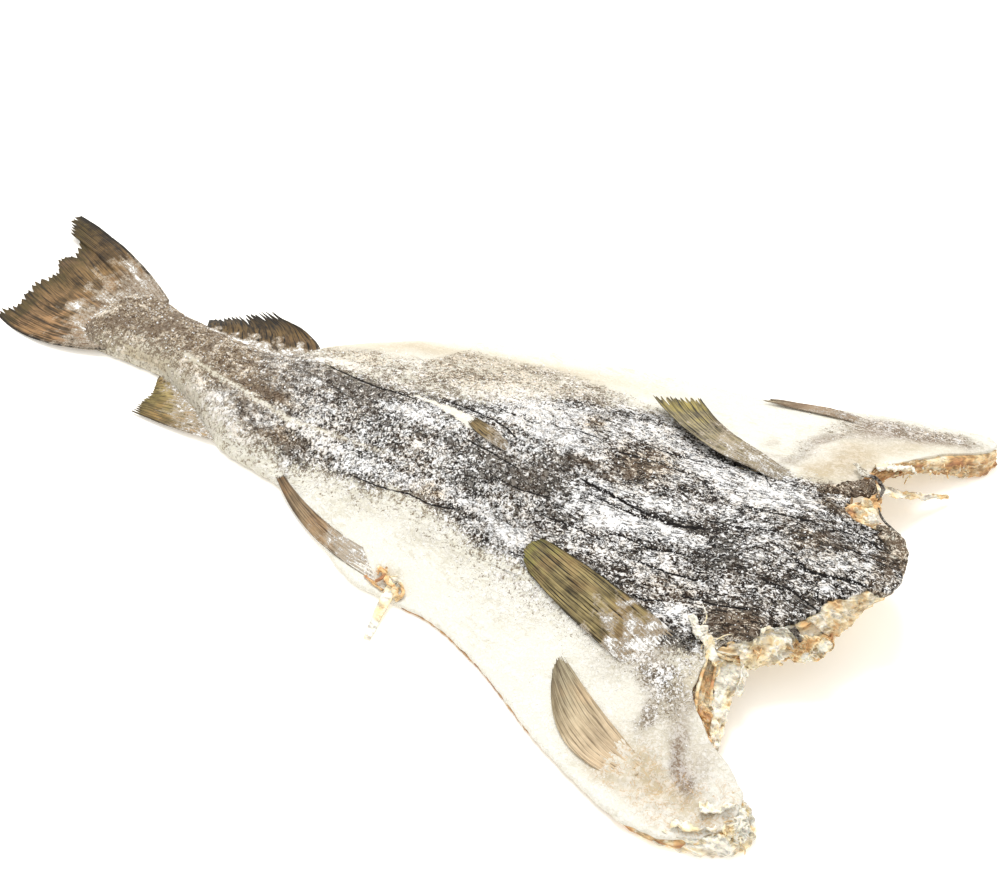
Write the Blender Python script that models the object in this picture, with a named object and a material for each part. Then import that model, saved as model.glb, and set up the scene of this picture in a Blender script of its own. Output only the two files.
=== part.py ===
"""A whole salted dried cod, split open and laid skin side up, as one solid.

Units: the design is in millimetres and becomes metres in the meshes. +X runs from the tail to the
neck, +Y to the fish's far (left) side, +Z up. The origin is at the centre of the footprint, on the
surface that the fish lies on.

The tail stem is unsplit and lies on its side. In front of the vent the fish is opened along the belly
into one board: the loins stand highest along the back, and the belly walls thin out to both edges. The
head is cut off, which leaves the nape between two collar flaps. Nine fins are grown onto the board.
"""

from dataclasses import dataclass

import bmesh
import bpy
import numpy as np
from mathutils import Vector

MM = 0.001

# Driving sizes: the overall length, from the tail's upper tip to the far flap, and the spread of the
# two belly walls. The outline's outermost points are set from them.
LENGTH = 720.0
WIDTH = 380.0
TAIL_TIP_X = -LENGTH / 2
FRONT_TIP_X = LENGTH / 2
NEAR_SIDE_Y = -WIDTH / 2
FAR_SIDE_Y = WIDTH / 2

# Stations along the body, from the root of the tail fin to the neck.
BODY_START = -268.0
BODY_END = 318.0
FRONT_RAMP_START = 170.0  # from here on the cross lines lean towards the cut front

# Cells of the body board: along it, and across each half.
CELLS_ALONG = 48
CELLS_NEAR = 13
CELLS_FAR = 13

FIN_CELLS_ALONG = 7
FIN_CELLS_ACROSS = 6
FIN_SINK = 3.0  # a fin that lies on the skin reaches this far into it


SKIN_COLOUR = (0.36, 0.33, 0.29, 1.0)


def smooth_curve(*knots):
    """A curve y(x) through the knots, with no overshoot between them (monotone cubic)."""
    xs, ys = (np.array(side, float) for side in zip(*knots))
    steps = np.diff(xs)
    slopes = np.diff(ys) / steps
    tangents = np.zeros(len(xs))
    tangents[0], tangents[-1] = slopes[0], slopes[-1]
    same_way = slopes[:-1] * slopes[1:] > 0
    harmonic = 2 * slopes[:-1] * slopes[1:] / np.where(same_way, slopes[:-1] + slopes[1:], 1.0)
    tangents[1:-1] = np.where(same_way, harmonic, 0.0)

    def value(x):
        x = np.clip(x, xs[0], xs[-1])
        cell = np.clip(np.searchsorted(xs, x) - 1, 0, len(steps) - 1)
        h = steps[cell]
        t = (x - xs[cell]) / h
        rise = ys[cell] * (1 + 2 * t) * (1 - t) ** 2 + ys[cell + 1] * t * t * (3 - 2 * t)
        return rise + h * t * (1 - t) * (tangents[cell] * (1 - t) - tangents[cell + 1] * t)

    return value


def smooth_step(low, high, x):
    """0 below low, 1 above high, with a soft ramp between."""
    t = np.clip((x - low) / (high - low), 0.0, 1.0)
    return t * t * (3 - 2 * t)


# The outline of the board: its near edge (right flank), its far edge (left flank) and the back line.
near_edge = smooth_curve(
    (-268, -10), (-235, -16), (-195, -16), (-155, -27), (-92, -60), (-45, -68), (0, -92), (50, -116),
    (95, -118), (140, -133), (200, -165), (260, -187), (276, NEAR_SIDE_Y), (292, NEAR_SIDE_Y),
    (BODY_END, -181),
)
far_edge = smooth_curve(
    (-268, 56), (-235, 50), (-190, 37), (-130, 33), (-104, 40), (-85, 66), (-40, 98), (20, 126),
    (80, 140), (140, 151), (200, 160), (260, 176), (300, 187), (BODY_END, FAR_SIDE_Y),
)
back_line = smooth_curve(
    (-268, 44), (-235, 40), (-190, 28), (-100, 25), (-60, 27), (20, 20), (90, 3), (140, -8), (226, -8),
    (280, 0), (BODY_END, -2),
)
# Where the cut front lies, from the tip of the near flap, round the nape, to the tip of the far flap.
front_edge = smooth_curve(
    (-181, 312), (-167, 324), (-152, 316), (-130, 286), (-108, 268), (-86, 266), (-70, 280), (-48, 305),
    (-30, 316), (-8, 331), (14, 339), (30, 337), (42, 331), (52, 314), (66, 300), (86, 297), (104, 302),
    (122, 316), (150, 343), (166, 357), (174, FRONT_TIP_X), (182, FRONT_TIP_X), (FAR_SIDE_Y, 351),
)

# Heights: the crest of the loins, the top of each thin edge, and the arch of the underside.
crest_height = smooth_curve(
    (-268, 9), (-235, 16), (-190, 22), (-130, 25), (-70, 28), (0, 33), (60, 38), (130, 43), (280, 47),
    (339, 48),
)
near_rim_height = smooth_curve((-268, 3), (-190, 6), (-100, 7), (60, 5), (200, 5), (270, 8), (320, 10))
far_rim_height = smooth_curve((-268, 3), (-190, 6), (-90, 8), (100, 7), (200, 8), (280, 12), (350, 14))
arch_height = smooth_curve((-60, 0), (0, 4), (60, 9), (130, 14), (200, 18), (280, 22), (339, 27))
ARCH_SHARE = 0.8  # the underside is flat outside this share of the half width


def across(x, y):
    """Where a point lies across the board: -1 at the near edge, 1 at the far edge."""
    near, far = near_edge(x), far_edge(x)
    return np.clip(2 * (y - near) / (far - near) - 1, -1.0, 1.0)


def top_height(x, y):
    """Height of the skin: a round stem at the tail, a broad crest with thin flanks in front."""
    share = across(x, y)
    opened = smooth_step(-150, 0, x)
    fullness, power = 2.0 - 0.4 * opened, 0.5 + 0.8 * opened
    dome = (1 - np.abs(share) ** fullness) ** power
    rim = np.where(share < 0, near_rim_height(x), far_rim_height(x))
    return rim + (crest_height(x) - rim) * dome


def under_height(x, y):
    """Height of the flesh side: flat on the table at the tail and along both edges, arched between."""
    share = across(x, y)
    return arch_height(x) * np.clip(1 - (share / ARCH_SHARE) ** 2, 0.0, 1.0)


def body_plan(along, side):
    """Plan position for along in 0..1 (tail to front) and side in -1..1 (near edge, back line, far edge)."""
    x = BODY_START + (BODY_END - BODY_START) * along
    back, front_back = back_line(x), back_line(BODY_END)
    edge = np.where(side < 0, near_edge(x), far_edge(x))
    front_rim = np.where(side < 0, near_edge(BODY_END), far_edge(BODY_END))
    y = back + np.abs(side) * (edge - back)
    front_y = front_back + np.abs(side) * (front_rim - front_back)
    lean = np.clip((x - FRONT_RAMP_START) / (BODY_END - FRONT_RAMP_START), 0.0, 1.0) ** 1.5
    return x + lean * (front_edge(front_y) - BODY_END), y


def closed_sheet(name, cells_u, cells_v, surface):
    """A closed solid between two sheets. surface(u, v) gives x, y, top z and bottom z for u, v in 0..1."""
    mesh = bmesh.new()
    bmesh.ops.create_grid(mesh, x_segments=cells_u, y_segments=cells_v, size=0.5)
    shares = [(vert.co.x + 0.5, vert.co.y + 0.5) for vert in mesh.verts]
    u, v = np.array(shares).T
    x, y, top, bottom = (np.broadcast_to(side, u.shape) for side in surface(u, v))
    upper = list(mesh.verts)
    extruded = bmesh.ops.extrude_face_region(mesh, geom=mesh.faces[:], use_keep_orig=True)
    lower = [item for item in extruded["geom"] if isinstance(item, bmesh.types.BMVert)]
    lower_of = {(round(vert.co.x, 6), round(vert.co.y, 6)): vert for vert in lower}
    pairs = [(vert, lower_of[round(vert.co.x, 6), round(vert.co.y, 6)]) for vert in upper]
    for i, (above, below) in enumerate(pairs):
        above.co = Vector((x[i], y[i], top[i])) * MM
        below.co = Vector((x[i], y[i], bottom[i])) * MM
    bmesh.ops.recalc_face_normals(mesh, faces=mesh.faces)
    data = bpy.data.meshes.new(name)
    mesh.to_mesh(data)
    mesh.free()
    return bpy.data.objects.new(name, data)


def body_surface(u, v):
    """The board: u runs from the tail to the front, v from the near edge to the far edge."""
    side = 2 * v - 1
    x, y = body_plan(u, side)
    return x, y, top_height(x, y), under_height(x, y)


def polyline(points):
    """A function of 0..1 that runs along the points at an even pace from point to point."""
    places = np.linspace(0.0, 1.0, len(points))
    xs, ys = np.array(points, float).T
    return lambda share: (np.interp(share, places, xs), np.interp(share, places, ys))


@dataclass(frozen=True)
class Fin:
    """A fin as a fan of rays from its root line to its tip line.

    first_bow and last_bow bend the first and the last ray sideways at mid length, in x and y. The
    fin lies on the skin, lift above it, where rides_skin is set. Otherwise it runs from root_height to
    tip_height above the table.
    """

    name: str
    root: tuple
    tip: tuple
    first_bow: tuple = (0.0, 0.0)
    last_bow: tuple = (0.0, 0.0)
    rides_skin: bool = False
    lift: float = 3.2
    root_height: float = 10.0
    tip_height: float = 3.0
    root_thick: float = 3.0
    tip_thick: float = 1.6

    def surface(self, u, v):
        """x, y, top and bottom of the blade; u runs along the rays and v across them."""
        root_x, root_y = polyline(self.root)(v)
        tip_x, tip_y = polyline(self.tip)(v)
        bend = 4 * u * (1 - u)
        bow_x = (1 - v) * self.first_bow[0] + v * self.last_bow[0]
        bow_y = (1 - v) * self.first_bow[1] + v * self.last_bow[1]
        x = root_x + (tip_x - root_x) * u + bend * bow_x
        y = root_y + (tip_y - root_y) * u + bend * bow_y
        if self.rides_skin:
            skin = top_height(x, y)
            return x, y, skin + self.lift, skin - FIN_SINK
        thick = self.root_thick + (self.tip_thick - self.root_thick) * u
        top = self.root_height + (self.tip_height - self.root_height) * u
        return x, y, top, top - thick


FINS = (
    Fin(
        "tail_fin",
        root=((-232, 50), (-236, 17), (-232, -15)),
        tip=((TAIL_TIP_X, 98), (-357, 88), (-336, 78), (-331, 66), (-334, 54), (-338, 40), (-340, 26),
             (-341, 13), (-341, 0), (-338, -14)),
        first_bow=(2, 12), last_bow=(0, -19), root_height=11, tip_height=3, root_thick=6,
    ),
    Fin(
        "back_fin_3",
        root=((-76, 24), (-124, 22), (-172, 24)),
        tip=((-153, 67), (-163, 54), (-172, 42), (-178, 31)),
        first_bow=(6, 6), root_height=16, tip_height=8,
    ),
    Fin(
        "belly_fin_2",
        root=((-98, -54), (-140, -32), (-180, -14)),
        tip=((-174, -61), (-176, -50), (-179, -36), (-183, -21)),
        first_bow=(0, -5), root_height=5, tip_height=2.4,
    ),
    Fin(
        "belly_fin_1",
        root=((40, -100), (52, -116)), tip=((-47, -64), (-49, -68)),
        first_bow=(2, 3), last_bow=(-2, -9), root_height=5, tip_height=4,
    ),
    Fin(
        "near_pectoral_fin",
        root=((240, -85), (222, -106)), tip=((154, -51), (144, -51), (137, -58), (138, -68)),
        first_bow=(0, 6), last_bow=(0, -6), rides_skin=True,
    ),
    Fin(
        "far_pectoral_fin",
        root=((254, 60), (256, 72)), tip=((144, 96), (152, 104), (161, 110), (171, 114)),
        first_bow=(0, -14), last_bow=(2, -3), rides_skin=True,
    ),
    Fin(
        "near_pelvic_fin",
        root=((254, -156), (258, -166)), tip=((193, -118), (187, -126), (187, -134)),
        first_bow=(0, -4), last_bow=(-10, -12), rides_skin=True,
    ),
    Fin(
        "far_pelvic_fin",
        root=((276, 158), (278, 170)), tip=((207, 154), (207, 159)),
        first_bow=(0, -2), last_bow=(0, 3), rides_skin=True,
    ),
    Fin(
        "back_fin_2",
        root=((94, -2), (92, 6)), tip=((22, 18), (24, 25)),
        first_bow=(0, -1), last_bow=(0, 1), rides_skin=True, lift=2.2,
    ),
    Fin(
        "vent_shred",
        root=((58, -108), (70, -110)), tip=((72, -148), (77, -147)),
        first_bow=(3, 0), last_bow=(3, 0), root_height=4.0, tip_height=1.3, root_thick=3.2,
        tip_thick=1.0,
    ),
)


def skin_material():
    """Grey-brown salted skin."""
    material = bpy.data.materials.new("salted_skin")
    material.use_nodes = True
    shader = material.node_tree.nodes["Principled BSDF"]
    shader.inputs["Base Color"].default_value = SKIN_COLOUR
    shader.inputs["Roughness"].default_value = 0.85
    shader.inputs["Metallic"].default_value = 0.0
    return material


def build():
    """The fish as one object, with every fin joined to the board."""
    for leftover in list(bpy.data.objects):
        bpy.data.objects.remove(leftover)
    fish = bpy.data.collections.new("salted_dried_cod")
    tools = bpy.data.collections.new("grown_on_shapes")
    for collection in (fish, tools):
        bpy.context.scene.collection.children.link(collection)
    cod = closed_sheet("dried_cod", CELLS_ALONG, CELLS_NEAR + CELLS_FAR, body_surface)
    cod.data.materials.append(skin_material())
    fish.objects.link(cod)
    for fin in FINS:
        blade = closed_sheet(fin.name, FIN_CELLS_ALONG, FIN_CELLS_ACROSS, fin.surface)
        blade.hide_render = True
        blade.display_type = "WIRE"
        tools.objects.link(blade)
        join = cod.modifiers.new("join_" + fin.name, "BOOLEAN")
        join.operation = "UNION"
        join.object = blade


build()
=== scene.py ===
"""Looks of a whole salted dried cod: crusted skin, cut flesh, fins, torn edges and loose salt.

Sizes are millimetres on the fish's own axes: x from tail to neck, y from its right flank (near) to its
left flank (far), z up from the surface it lies on. Place turns them into the frame's metres.
"""

import logging
import math
from collections.abc import Sequence
from dataclasses import dataclass
from enum import Enum
from functools import cache

import bmesh
import bpy
import numpy as np
from bmesh.types import BMEdge, BMVert, BMesh
from bpy.types import Material, Mesh, Node, NodeSocket, NodeTree, Object, bpy_prop_collection
from mathutils import Matrix, Vector


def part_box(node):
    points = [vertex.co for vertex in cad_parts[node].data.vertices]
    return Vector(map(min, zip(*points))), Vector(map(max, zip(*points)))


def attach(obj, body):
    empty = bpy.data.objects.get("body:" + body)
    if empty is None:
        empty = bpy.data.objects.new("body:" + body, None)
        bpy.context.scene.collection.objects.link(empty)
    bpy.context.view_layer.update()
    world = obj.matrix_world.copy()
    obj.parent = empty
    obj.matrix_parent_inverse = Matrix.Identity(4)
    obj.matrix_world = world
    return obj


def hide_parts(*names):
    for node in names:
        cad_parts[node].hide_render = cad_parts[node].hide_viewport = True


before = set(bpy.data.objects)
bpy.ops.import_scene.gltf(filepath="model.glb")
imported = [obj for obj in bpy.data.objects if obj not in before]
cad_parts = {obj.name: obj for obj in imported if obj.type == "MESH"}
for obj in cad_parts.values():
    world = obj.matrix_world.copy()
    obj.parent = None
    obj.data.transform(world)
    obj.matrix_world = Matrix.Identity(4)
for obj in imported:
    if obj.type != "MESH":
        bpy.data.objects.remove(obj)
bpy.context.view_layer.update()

LOG = logging.getLogger("salted_cod")
CAD_NODE = "dried_cod"
BODY = "root"

Array = np.ndarray
Colour = tuple[float, float, float]
Point = tuple[float, ...]


# ---- Place and form: where the fish lies and how high its skin is ----

DESIGN_LENGTH = 720.0


class Place:
    """Turns the design's millimetres into the frame's metres."""

    low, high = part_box(CAD_NODE)
    unit: float = (high.x - low.x) / DESIGN_LENGTH
    origin: Array = np.array([(low.x + high.x) / 2, (low.y + high.y) / 2, low.z])

    @classmethod
    def metres(cls, points: Array) -> Array:
        """Points in the frame, in metres, for points in the design, in millimetres."""
        return cls.origin + np.asarray(points, float) * cls.unit


def smooth_step(low: float, high: float, x: Array) -> Array:
    """0 below low, 1 above high, with a soft ramp between."""
    t = np.clip((x - low) / (high - low), 0.0, 1.0)
    return t * t * (3 - 2 * t)


@dataclass(frozen=True)
class Profile:
    """A curve y(x) through its knots, with no overshoot between them."""

    knots: tuple[tuple[float, float], ...]

    def __call__(self, x: Array) -> Array:
        """The curve's value at x, held at its end values beyond them."""
        xs, ys = np.array(self.knots, float).T
        steps = np.diff(xs)
        slopes = np.diff(ys) / steps
        tangents = np.zeros(len(xs))
        tangents[0], tangents[-1] = slopes[0], slopes[-1]
        same_way = slopes[:-1] * slopes[1:] > 0
        harmonic = 2 * slopes[:-1] * slopes[1:] / np.where(same_way, slopes[:-1] + slopes[1:], 1.0)
        tangents[1:-1] = np.where(same_way, harmonic, 0.0)
        x = np.clip(x, xs[0], xs[-1])
        cell = np.clip(np.searchsorted(xs, x) - 1, 0, len(steps) - 1)
        h = steps[cell]
        t = (x - xs[cell]) / h
        rise = ys[cell] * (1 + 2 * t) * (1 - t) ** 2 + ys[cell + 1] * t * t * (3 - 2 * t)
        return rise + h * t * (1 - t) * (tangents[cell] * (1 - t) - tangents[cell + 1] * t)


class Grain:
    """A smooth random field on a plane, the same on every run."""

    SIZE = 256

    def __init__(self, seed: int) -> None:
        """Draws the lattice of slopes.

        Args:
            seed: picks the field.
        """
        turns = np.random.default_rng(seed).random((self.SIZE, self.SIZE)) * 2 * np.pi
        self.slope_x = np.cos(turns)
        self.slope_y = np.sin(turns)

    def __call__(self, x: Array, y: Array, cell: float, octaves: int = 1) -> Array:
        """Values of about -1 to 1.

        Args:
            x: first coordinate, in millimetres.
            y: second coordinate, in millimetres.
            cell: size of the largest bumps, in millimetres.
            octaves: how many layers, each half as large and half as strong as the last.

        Returns:
            The field at each point.
        """
        total = np.zeros(np.broadcast(x, y).shape)
        for layer in range(octaves):
            scale = 2.0**layer
            total += self._layer(x * scale / cell + 17.3 * layer, y * scale / cell - 9.1 * layer) / scale
        return total * 1.5

    def _layer(self, gx: Array, gy: Array) -> Array:
        """One layer of gradient noise on a unit lattice."""
        i, j = np.floor(gx).astype(int), np.floor(gy).astype(int)
        fx, fy = gx - i, gy - j

        def corner(di: int, dj: int) -> Array:
            """Rise from one lattice corner."""
            a, b = (i + di) % self.SIZE, (j + dj) % self.SIZE
            return self.slope_x[a, b] * (fx - di) + self.slope_y[a, b] * (fy - dj)

        u, v = fx**3 * (fx * (fx * 6 - 15) + 10), fy**3 * (fy * (fy * 6 - 15) + 10)
        low = corner(0, 0) * (1 - u) + corner(1, 0) * u
        high = corner(0, 1) * (1 - u) + corner(1, 1) * u
        return low * (1 - v) + high * v


BROAD, CRUST, WARP, EDGE, FINE = (Grain(seed) for seed in (3, 11, 23, 31, 47))


@dataclass(frozen=True)
class Trail:
    """A short bent line on the skin, such as a crease or a fold."""

    points: tuple[tuple[float, float], ...]
    width: float
    depth: float
    lip: float = 0.0  # how far one side stands above the other

    def nearest(self, x: Array, y: Array) -> tuple[Array, Array, Array]:
        """How points lie to the line.

        Args:
            x: coordinates along the fish.
            y: coordinates across it.

        Returns:
            Distance, side (1 on the left of the line, -1 on the right), and share of the way along it.
        """
        best = np.full(x.shape, np.inf)
        side, share = np.ones(x.shape), np.zeros(x.shape)
        legs = len(self.points) - 1
        for number in range(legs):
            (ax, ay), (bx, by) = self.points[number], self.points[number + 1]
            dx, dy = bx - ax, by - ay
            t = np.clip(((x - ax) * dx + (y - ay) * dy) / (dx * dx + dy * dy), 0, 1)
            away = np.hypot(x - ax - t * dx, y - ay - t * dy)
            closer = away < best
            best = np.where(closer, away, best)
            side = np.where(closer, np.sign(dx * (y - ay) - dy * (x - ax) + 1e-9), side)
            share = np.where(closer, (number + t) / legs, share)
        return best, side, share

    def groove(self, x: Array, y: Array, width: float | None = None) -> Array:
        """How deep in the line each point is, from 0 to 1, fading to the line's ends."""
        away, _, share = self.nearest(x, y)
        return np.exp(-((away / (width or self.width)) ** 2)) * np.clip(10 * share * (1 - share) + 0.5, 0, 1)


@dataclass(frozen=True)
class Patch:
    """A soft uneven patch on the skin, stretched along one direction."""

    x: float
    y: float
    length: float
    width: float
    strength: float
    turn: float = 0.0  # degrees

    def weight(self, x: Array, y: Array) -> Array:
        """strength in the middle, falling to nothing outside."""
        turn = math.radians(self.turn)
        along = (x - self.x) * math.cos(turn) + (y - self.y) * math.sin(turn)
        across = (y - self.y) * math.cos(turn) - (x - self.x) * math.sin(turn)
        return self.strength * np.exp(-(((along / self.length) ** 2 + (across / self.width) ** 2) ** 1.5))


def patches(*rows: tuple[float, ...]) -> tuple[Patch, ...]:
    """Patches, each from its x, y, length, width, strength and, where it is turned, turn."""
    return tuple(Patch(*row) for row in rows)


def total_weight(group: Sequence[Patch], x: Array, y: Array) -> Array:
    """Sum of the patches' weights, with their rims made uneven."""
    wx = x + 5 * WARP(x, y, 22, 3)
    wy = y + 4 * WARP(x + 400, y, 22, 3)
    return sum(patch.weight(wx, wy) for patch in group)


class Board:
    """The split body: an outline in plan, a domed skin side and an arched flesh side."""

    START, END = -268.0, 318.0
    RAMP_START = 170.0
    ARCH_SHARE = 0.8

    near_edge = Profile((
        (-268, -10), (-235, -16), (-195, -16), (-155, -27), (-92, -60), (-45, -68), (0, -92), (50, -116),
        (95, -118), (140, -133), (200, -165), (260, -187), (276, -190), (292, -190), (318, -181),
    ))
    far_edge = Profile((
        (-268, 56), (-235, 50), (-190, 37), (-130, 33), (-104, 40), (-85, 66), (-40, 98), (20, 126),
        (80, 140), (140, 151), (200, 160), (260, 176), (300, 187), (318, 190),
    ))
    back_line = Profile((
        (-268, 44), (-235, 40), (-190, 28), (-100, 25), (-60, 27), (20, 20), (90, 3), (140, -8),
        (226, -8), (280, 0), (318, -2),
    ))
    front_edge = Profile((
        (-181, 312), (-167, 324), (-152, 316), (-130, 286), (-108, 268), (-86, 266), (-70, 280),
        (-48, 305), (-30, 316), (-8, 331), (14, 339), (30, 337), (42, 331), (52, 314), (66, 300),
        (86, 297), (104, 302), (122, 316), (150, 343), (166, 357), (174, 360), (182, 360), (190, 351),
    ))
    # How far the skin and the flesh stop short of the front edge along the cut, by y.
    skin_setback = Profile((
        (-181, 9), (-160, 7), (-150, 1), (-125, 2), (-100, 3), (-86, 1), (-80, 1), (-72, 3), (-65, 2),
        (-57, 8), (-49, 3), (-42, 4), (-36, 4), (-26, 7), (-20, 4), (-13, 1), (-9, 0), (-5, -8), (4, -6),
        (14, -2), (26, -1), (36, 1), (39, 4), (43, 28), (48, 24), (56, 16), (64, 7), (76, 5), (86, 4),
        (92, 5), (104, 6), (114, 7), (124, 8), (133, 10), (143, 13), (152, 14), (160, 12), (168, 8),
        (174, 5), (190, 0),
    ))
    flesh_setback = Profile((
        (-181, 5), (-160, 4), (-150, 2), (-130, 3), (-108, 4), (-86, 5), (-72, 8), (-57, 12), (-49, 7),
        (-42, 8), (-26, 10), (-14, 5), (-5, 1), (30, 1), (38, 6), (44, 26), (50, 20), (58, 14), (66, 8),
        (76, 6), (90, 5), (110, 6), (124, 6), (143, 8), (160, 7), (174, 3), (190, 0),
    ))
    # How high the flesh of the far flap hangs over the table along the cut front, by y.
    far_hang = Profile(((56, 0), (80, 25), (105, 25), (121, 21), (135, 15), (147, 9), (155, 4), (160, 0)))
    crest = Profile((
        (-268, 9), (-235, 16), (-190, 22), (-130, 25), (-70, 28), (0, 33), (60, 38), (130, 43),
        (280, 47), (339, 48),
    ))
    near_rim = Profile(((-268, 3), (-190, 6), (-100, 6), (60, 3.8), (200, 3.8), (270, 6), (320, 9)))
    far_rim = Profile(((-268, 3), (-190, 6), (-90, 8), (100, 7), (200, 8), (280, 12), (350, 14)))
    arch = Profile(((-60, 0), (0, 4), (60, 9), (130, 14), (200, 18), (280, 22), (339, 27)))

    @classmethod
    def across(cls, x: Array, y: Array) -> Array:
        """Where a point lies across the board: -1 at the near edge, 1 at the far edge."""
        near, far = cls.near_edge(x), cls.far_edge(x)
        return np.clip(2 * (y - near) / (far - near) - 1, -1.0, 1.0)

    @classmethod
    def top(cls, x: Array, y: Array) -> Array:
        """Height of the plain skin side, before its fine relief."""
        share = cls.across(x, y)
        opened = smooth_step(-150, 0, x)
        fullness, power = 2.0 - 0.4 * opened, 0.5 + 0.8 * opened
        dome = (1 - np.abs(share) ** fullness) ** power
        rim = np.where(share < 0, cls.near_rim(x), cls.far_rim(x))
        return rim + (cls.crest(x) - rim) * dome

    @classmethod
    def under(cls, x: Array, y: Array) -> Array:
        """Height of the flesh side."""
        share = cls.across(x, y)
        arched = cls.arch(x) * np.clip(1 - (share / cls.ARCH_SHARE) ** 2, 0.0, 1.0)
        return np.maximum(arched, cls.far_hang(y) * smooth_step(258, 290, x))

    @classmethod
    def plan(cls, along: Array, side: Array, skin: bool) -> tuple[Array, Array]:
        """Plan position of a point on the board.

        Args:
            along: 0 at the tail to 1 at the cut front.
            side: -1 at the near edge, 0 on the back line, 1 at the far edge.
            skin: whether the front is the skin's, which is the more ragged, or the flesh's.

        Returns:
            x and y, in millimetres.
        """
        x = cls.START + (cls.END - cls.START) * along
        back, front_back = cls.back_line(x), cls.back_line(cls.END)
        edge = np.where(side < 0, cls.near_edge(x), cls.far_edge(x))
        front_rim = np.where(side < 0, cls.near_edge(cls.END), cls.far_edge(cls.END))
        y = back + np.abs(side) * (edge - back)
        front_y = front_back + np.abs(side) * (front_rim - front_back)
        lean = np.clip((x - cls.RAMP_START) / (cls.END - cls.RAMP_START), 0.0, 1.0) ** 1.5
        nape = smooth_step(-92, -76, front_y) * smooth_step(0, 12, -front_y)
        neck = smooth_step(46, 54, front_y) * smooth_step(-104, -92, -front_y)
        ragged = EDGE(front_y, along * 0 + 50 * skin, 8, 3) * (1.0 + 2.4 * skin * (nape + neck))
        setback = cls.skin_setback(front_y) if skin else cls.flesh_setback(front_y)
        return x + lean * (cls.front_edge(front_y) - setback + ragged - cls.END), y


FAR_FROM_CREASE = 6.0  # half widths, past which a crease no longer counts


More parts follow.
